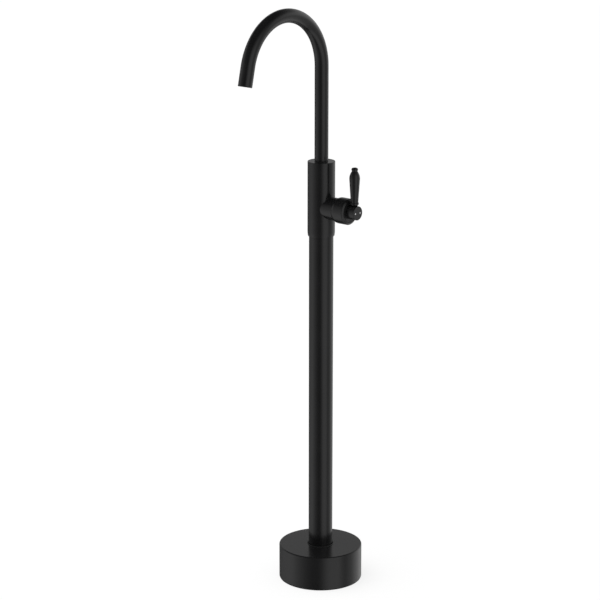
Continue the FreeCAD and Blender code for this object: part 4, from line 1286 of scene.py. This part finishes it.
    def saddle(self, piece: Piece, height: float, hub_radius: float) -> None:
        """Bring the lever's lowest ring down onto the hub's round skin.

        Args:
            piece: the lever.
            height: of the handle's axis.
            hub_radius: of the drum that the lever stands on.
        """
        level = height + hub_radius
        for vert in piece.data.vertices:
            if abs(vert.co.z / MM - level) < ON_WALL:
                vert.co.z = (height + math.sqrt(hub_radius ** 2 - (vert.co.y / MM) ** 2)) * MM

    def shank(self, outline: Outline, waist: float, tip: float, steps: int = 28) -> None:
        """Add the straight taper and the arc over the belly to the neck.

        Args:
            outline: to add to.
            waist: height of the waist.
            tip: height of the lever's tip.
            steps: number of straight pieces in the arc.
        """
        belly = tip - self.belly_drop
        inset, rise = self.belly_radius - self.neck_radius, tip - self.neck_drop - belly
        ball = (rise ** 2 + inset ** 2) / (2 * inset)
        centre = Vector((self.belly_radius - ball, belly))
        down = Vector((self.waist_radius, waist)) - centre
        start = math.atan2(down.y, down.x) + math.acos(ball / down.length)
        outline.arc(centre, ball, start, math.asin(rise / ball), steps)


# ---- studio ----
@dataclass(frozen=True)
class Panel:
    """Soft upright light panel seen in the object's sides.

    Its angles are in degrees from the camera's side, + to the camera's right. It fades out between
    two heights of the direction looked at.
    """

    azimuth: float
    half_width: float
    softness: float
    strength: float
    fade: Pair = (-0.45, 0.75)


@dataclass
class Studio:
    """Camera, floor, lamp and surroundings, in metres and degrees; only yaw is in radians."""

    azimuth: float = 39.75
    pitch: float = 15.240
    yaw: float = -0.010
    distance: float = 3.85621
    height: float = 1.590863
    lens: float = 130.83
    sensor: float = 36.0
    sight: float = 200.0
    ambient: float = 0.55
    lamp: float = 1.3
    lamp_spread: float = 60.0
    lamp_direction: tuple[float, float, float] = (0.25, 0.35, -1.0)
    floor_size: float = 40.0
    floor_cells: int = 8
    floor_colour: float = 0.8
    floor_shade: float = 0.25
    floor_glow: float = 0.785
    front_level: float = 0.115
    overhead_level: float = 0.02
    front_fade: Pair = (-0.45, 0.75)
    panels: tuple[Panel, ...] = (
        Panel(-86, 27, 90, 0.68),
        Panel(34, 23, 37, 0.66, (0.2, 0.9)),
        Panel(70, 22, 14, 0.22, (0.2, 0.9)),
        Panel(127, 32, 44, 0.65, (0.2, 0.9)),
    )
    backdrop: Panel = Panel(180, 90, 60, 0.30, (0.42, 0.62))
    backdrop_foot: Pair = (-0.05, 0.12)

    def toward_camera(self) -> Vector:
        """Level direction from the object to the camera."""
        angle = math.radians(self.azimuth)
        return Vector((math.sin(angle), -math.cos(angle), 0))

    def build(self) -> None:
        """Set up everything round the object."""
        self.camera()
        self.world()
        self.floor()
        self.sun()
        bpy.context.scene.view_settings.view_transform = "Standard"

    def camera(self) -> None:
        """Camera at the photograph's viewing angle."""
        angle = math.radians(self.azimuth)
        right = Vector((math.cos(angle), math.sin(angle), 0))
        away = -self.toward_camera()
        pitch = math.radians(self.pitch)
        level = right * math.sin(self.yaw) + away * math.cos(self.yaw)
        ahead = level * math.cos(pitch)
        ahead -= Vector((0, 0, math.sin(pitch)))
        data = bpy.data.cameras.new("camera")
        data.lens = self.lens
        data.sensor_width = self.sensor
        data.clip_end = self.sight
        camera = placed("camera", data)
        camera.location = self.toward_camera() * self.distance + Vector((0, 0, self.height))
        camera.rotation_euler = ahead.to_track_quat("-Z", "Y").to_euler()
        bpy.context.scene.camera = camera

    def world(self) -> None:
        """White to the camera, a plain level for soft light, and soft panels in what shines."""
        world = bpy.data.worlds.new("studio")
        world.use_nodes = True
        bpy.context.scene.world = world
        graph = Graph(world.node_tree)
        rays = graph.add("LightPath")
        camera = graph.value(rays, "Is Camera Ray")
        shiny = graph.value(rays, "Is Glossy Ray") + graph.value(rays, "Is Transmission Ray")
        level = camera + shiny * self.pattern(graph) + (1.0 - camera - shiny) * self.ambient
        light = graph.add("Background", {"Color": (1, 1, 1, 1), "Strength": level})
        graph.add("OutputWorld", {"Surface": light.outputs[0]})

    def pattern(self, graph: Graph) -> Value:
        """Brightness of the surroundings by direction.

        Args:
            graph: of the world.

        Returns:
            The sum of the panels round the object, fading to the level overhead.
        """
        direction = graph.add("TexCoord").outputs["Generated"]
        split = graph.add("SeparateXYZ", {0: direction})
        x, y, z = (graph.value(split, i) for i in range(3))
        front = self.toward_camera()
        ahead = x * front.x + y * front.y
        side = y * front.x - x * front.y
        angle = side.math("ARCTAN2", side, ahead) * (180 / math.pi)
        high = z.smooth_step(*self.front_fade)
        total = self.front_level * (1.0 - high) + self.overhead_level * high
        for panel in self.panels:
            total = total + self.seen(angle, z, panel)
        return total + self.seen(angle, z, self.backdrop) * z.smooth_step(*self.backdrop_foot)

    def seen(self, angle: Value, height: Value, panel: Panel) -> Value:
        """Brightness of one panel.

        Args:
            angle: level direction looked at, in degrees.
            height: upright part of the direction looked at.
            panel: to look for.

        Returns:
            Its strength where it stands, fading out at its sides and its top.
        """
        turned = angle - panel.azimuth
        away = abs(turned.math("WRAP", turned, 180.0, -180.0))
        inner = panel.half_width - panel.softness / 2
        outer = panel.half_width + panel.softness / 2
        below = 1.0 - height.smooth_step(*panel.fade)
        return away.smooth_step(outer, inner) * below * panel.strength

    def floor(self) -> None:
        """Pale floor, white to the camera except where the object shades it."""
        mesh = bmesh.new()
        bmesh.ops.create_grid(mesh, x_segments=self.floor_cells, y_segments=self.floor_cells,
                              size=self.floor_size / 2 / MM)
        floor = Maker.finish("studio_floor", mesh, Matrix.Identity(4))
        material = bpy.data.materials.new("studio_floor_paper")
        material.use_nodes = True
        graph = Graph(material.node_tree)
        shade, plain = self.floor_shade, self.floor_colour
        seen = graph.add("BsdfDiffuse", {"Color": (shade, shade, shade, 1)})
        glow = graph.add("Emission", {"Color": (1, 1, 1, 1), "Strength": self.floor_glow})
        both = graph.add("AddShader", {0: seen.outputs[0], 1: glow.outputs[0]})
        paper = graph.add("BsdfDiffuse", {"Color": (plain, plain, plain, 1)})
        rays = graph.add("LightPath")
        mix = graph.add("MixShader", {0: rays.outputs["Is Camera Ray"], 1: paper.outputs[0],
                                      2: both.outputs[0]})
        graph.add("OutputMaterial", {"Surface": mix.outputs[0]})
        floor.data.materials.append(material)
        floor.visible_glossy = False

    def sun(self) -> None:
        """Very soft lamp from above, a little to the left of the camera."""
        data = bpy.data.lights.new("soft_lamp", "SUN")
        data.energy = self.lamp
        data.angle = math.radians(self.lamp_spread)
        lamp = placed("soft_lamp", data)
        lamp.rotation_euler = Vector(self.lamp_direction).to_track_quat("-Z", "Y").to_euler()
        lamp.visible_glossy = False


def main() -> None:
    """Build and dress the object, then the studio round it."""
    logging.basicConfig(level=logging.INFO, format="%(message)s")
    shop = PaintShop()
    shop.dress_frame()
    for group in (BaseCover(), Column(), MixerBody(), Spout(), CapRing(), Handle()):
        group.mount(shop)
    Studio().build()


if __name__ == "__main__":
    main()
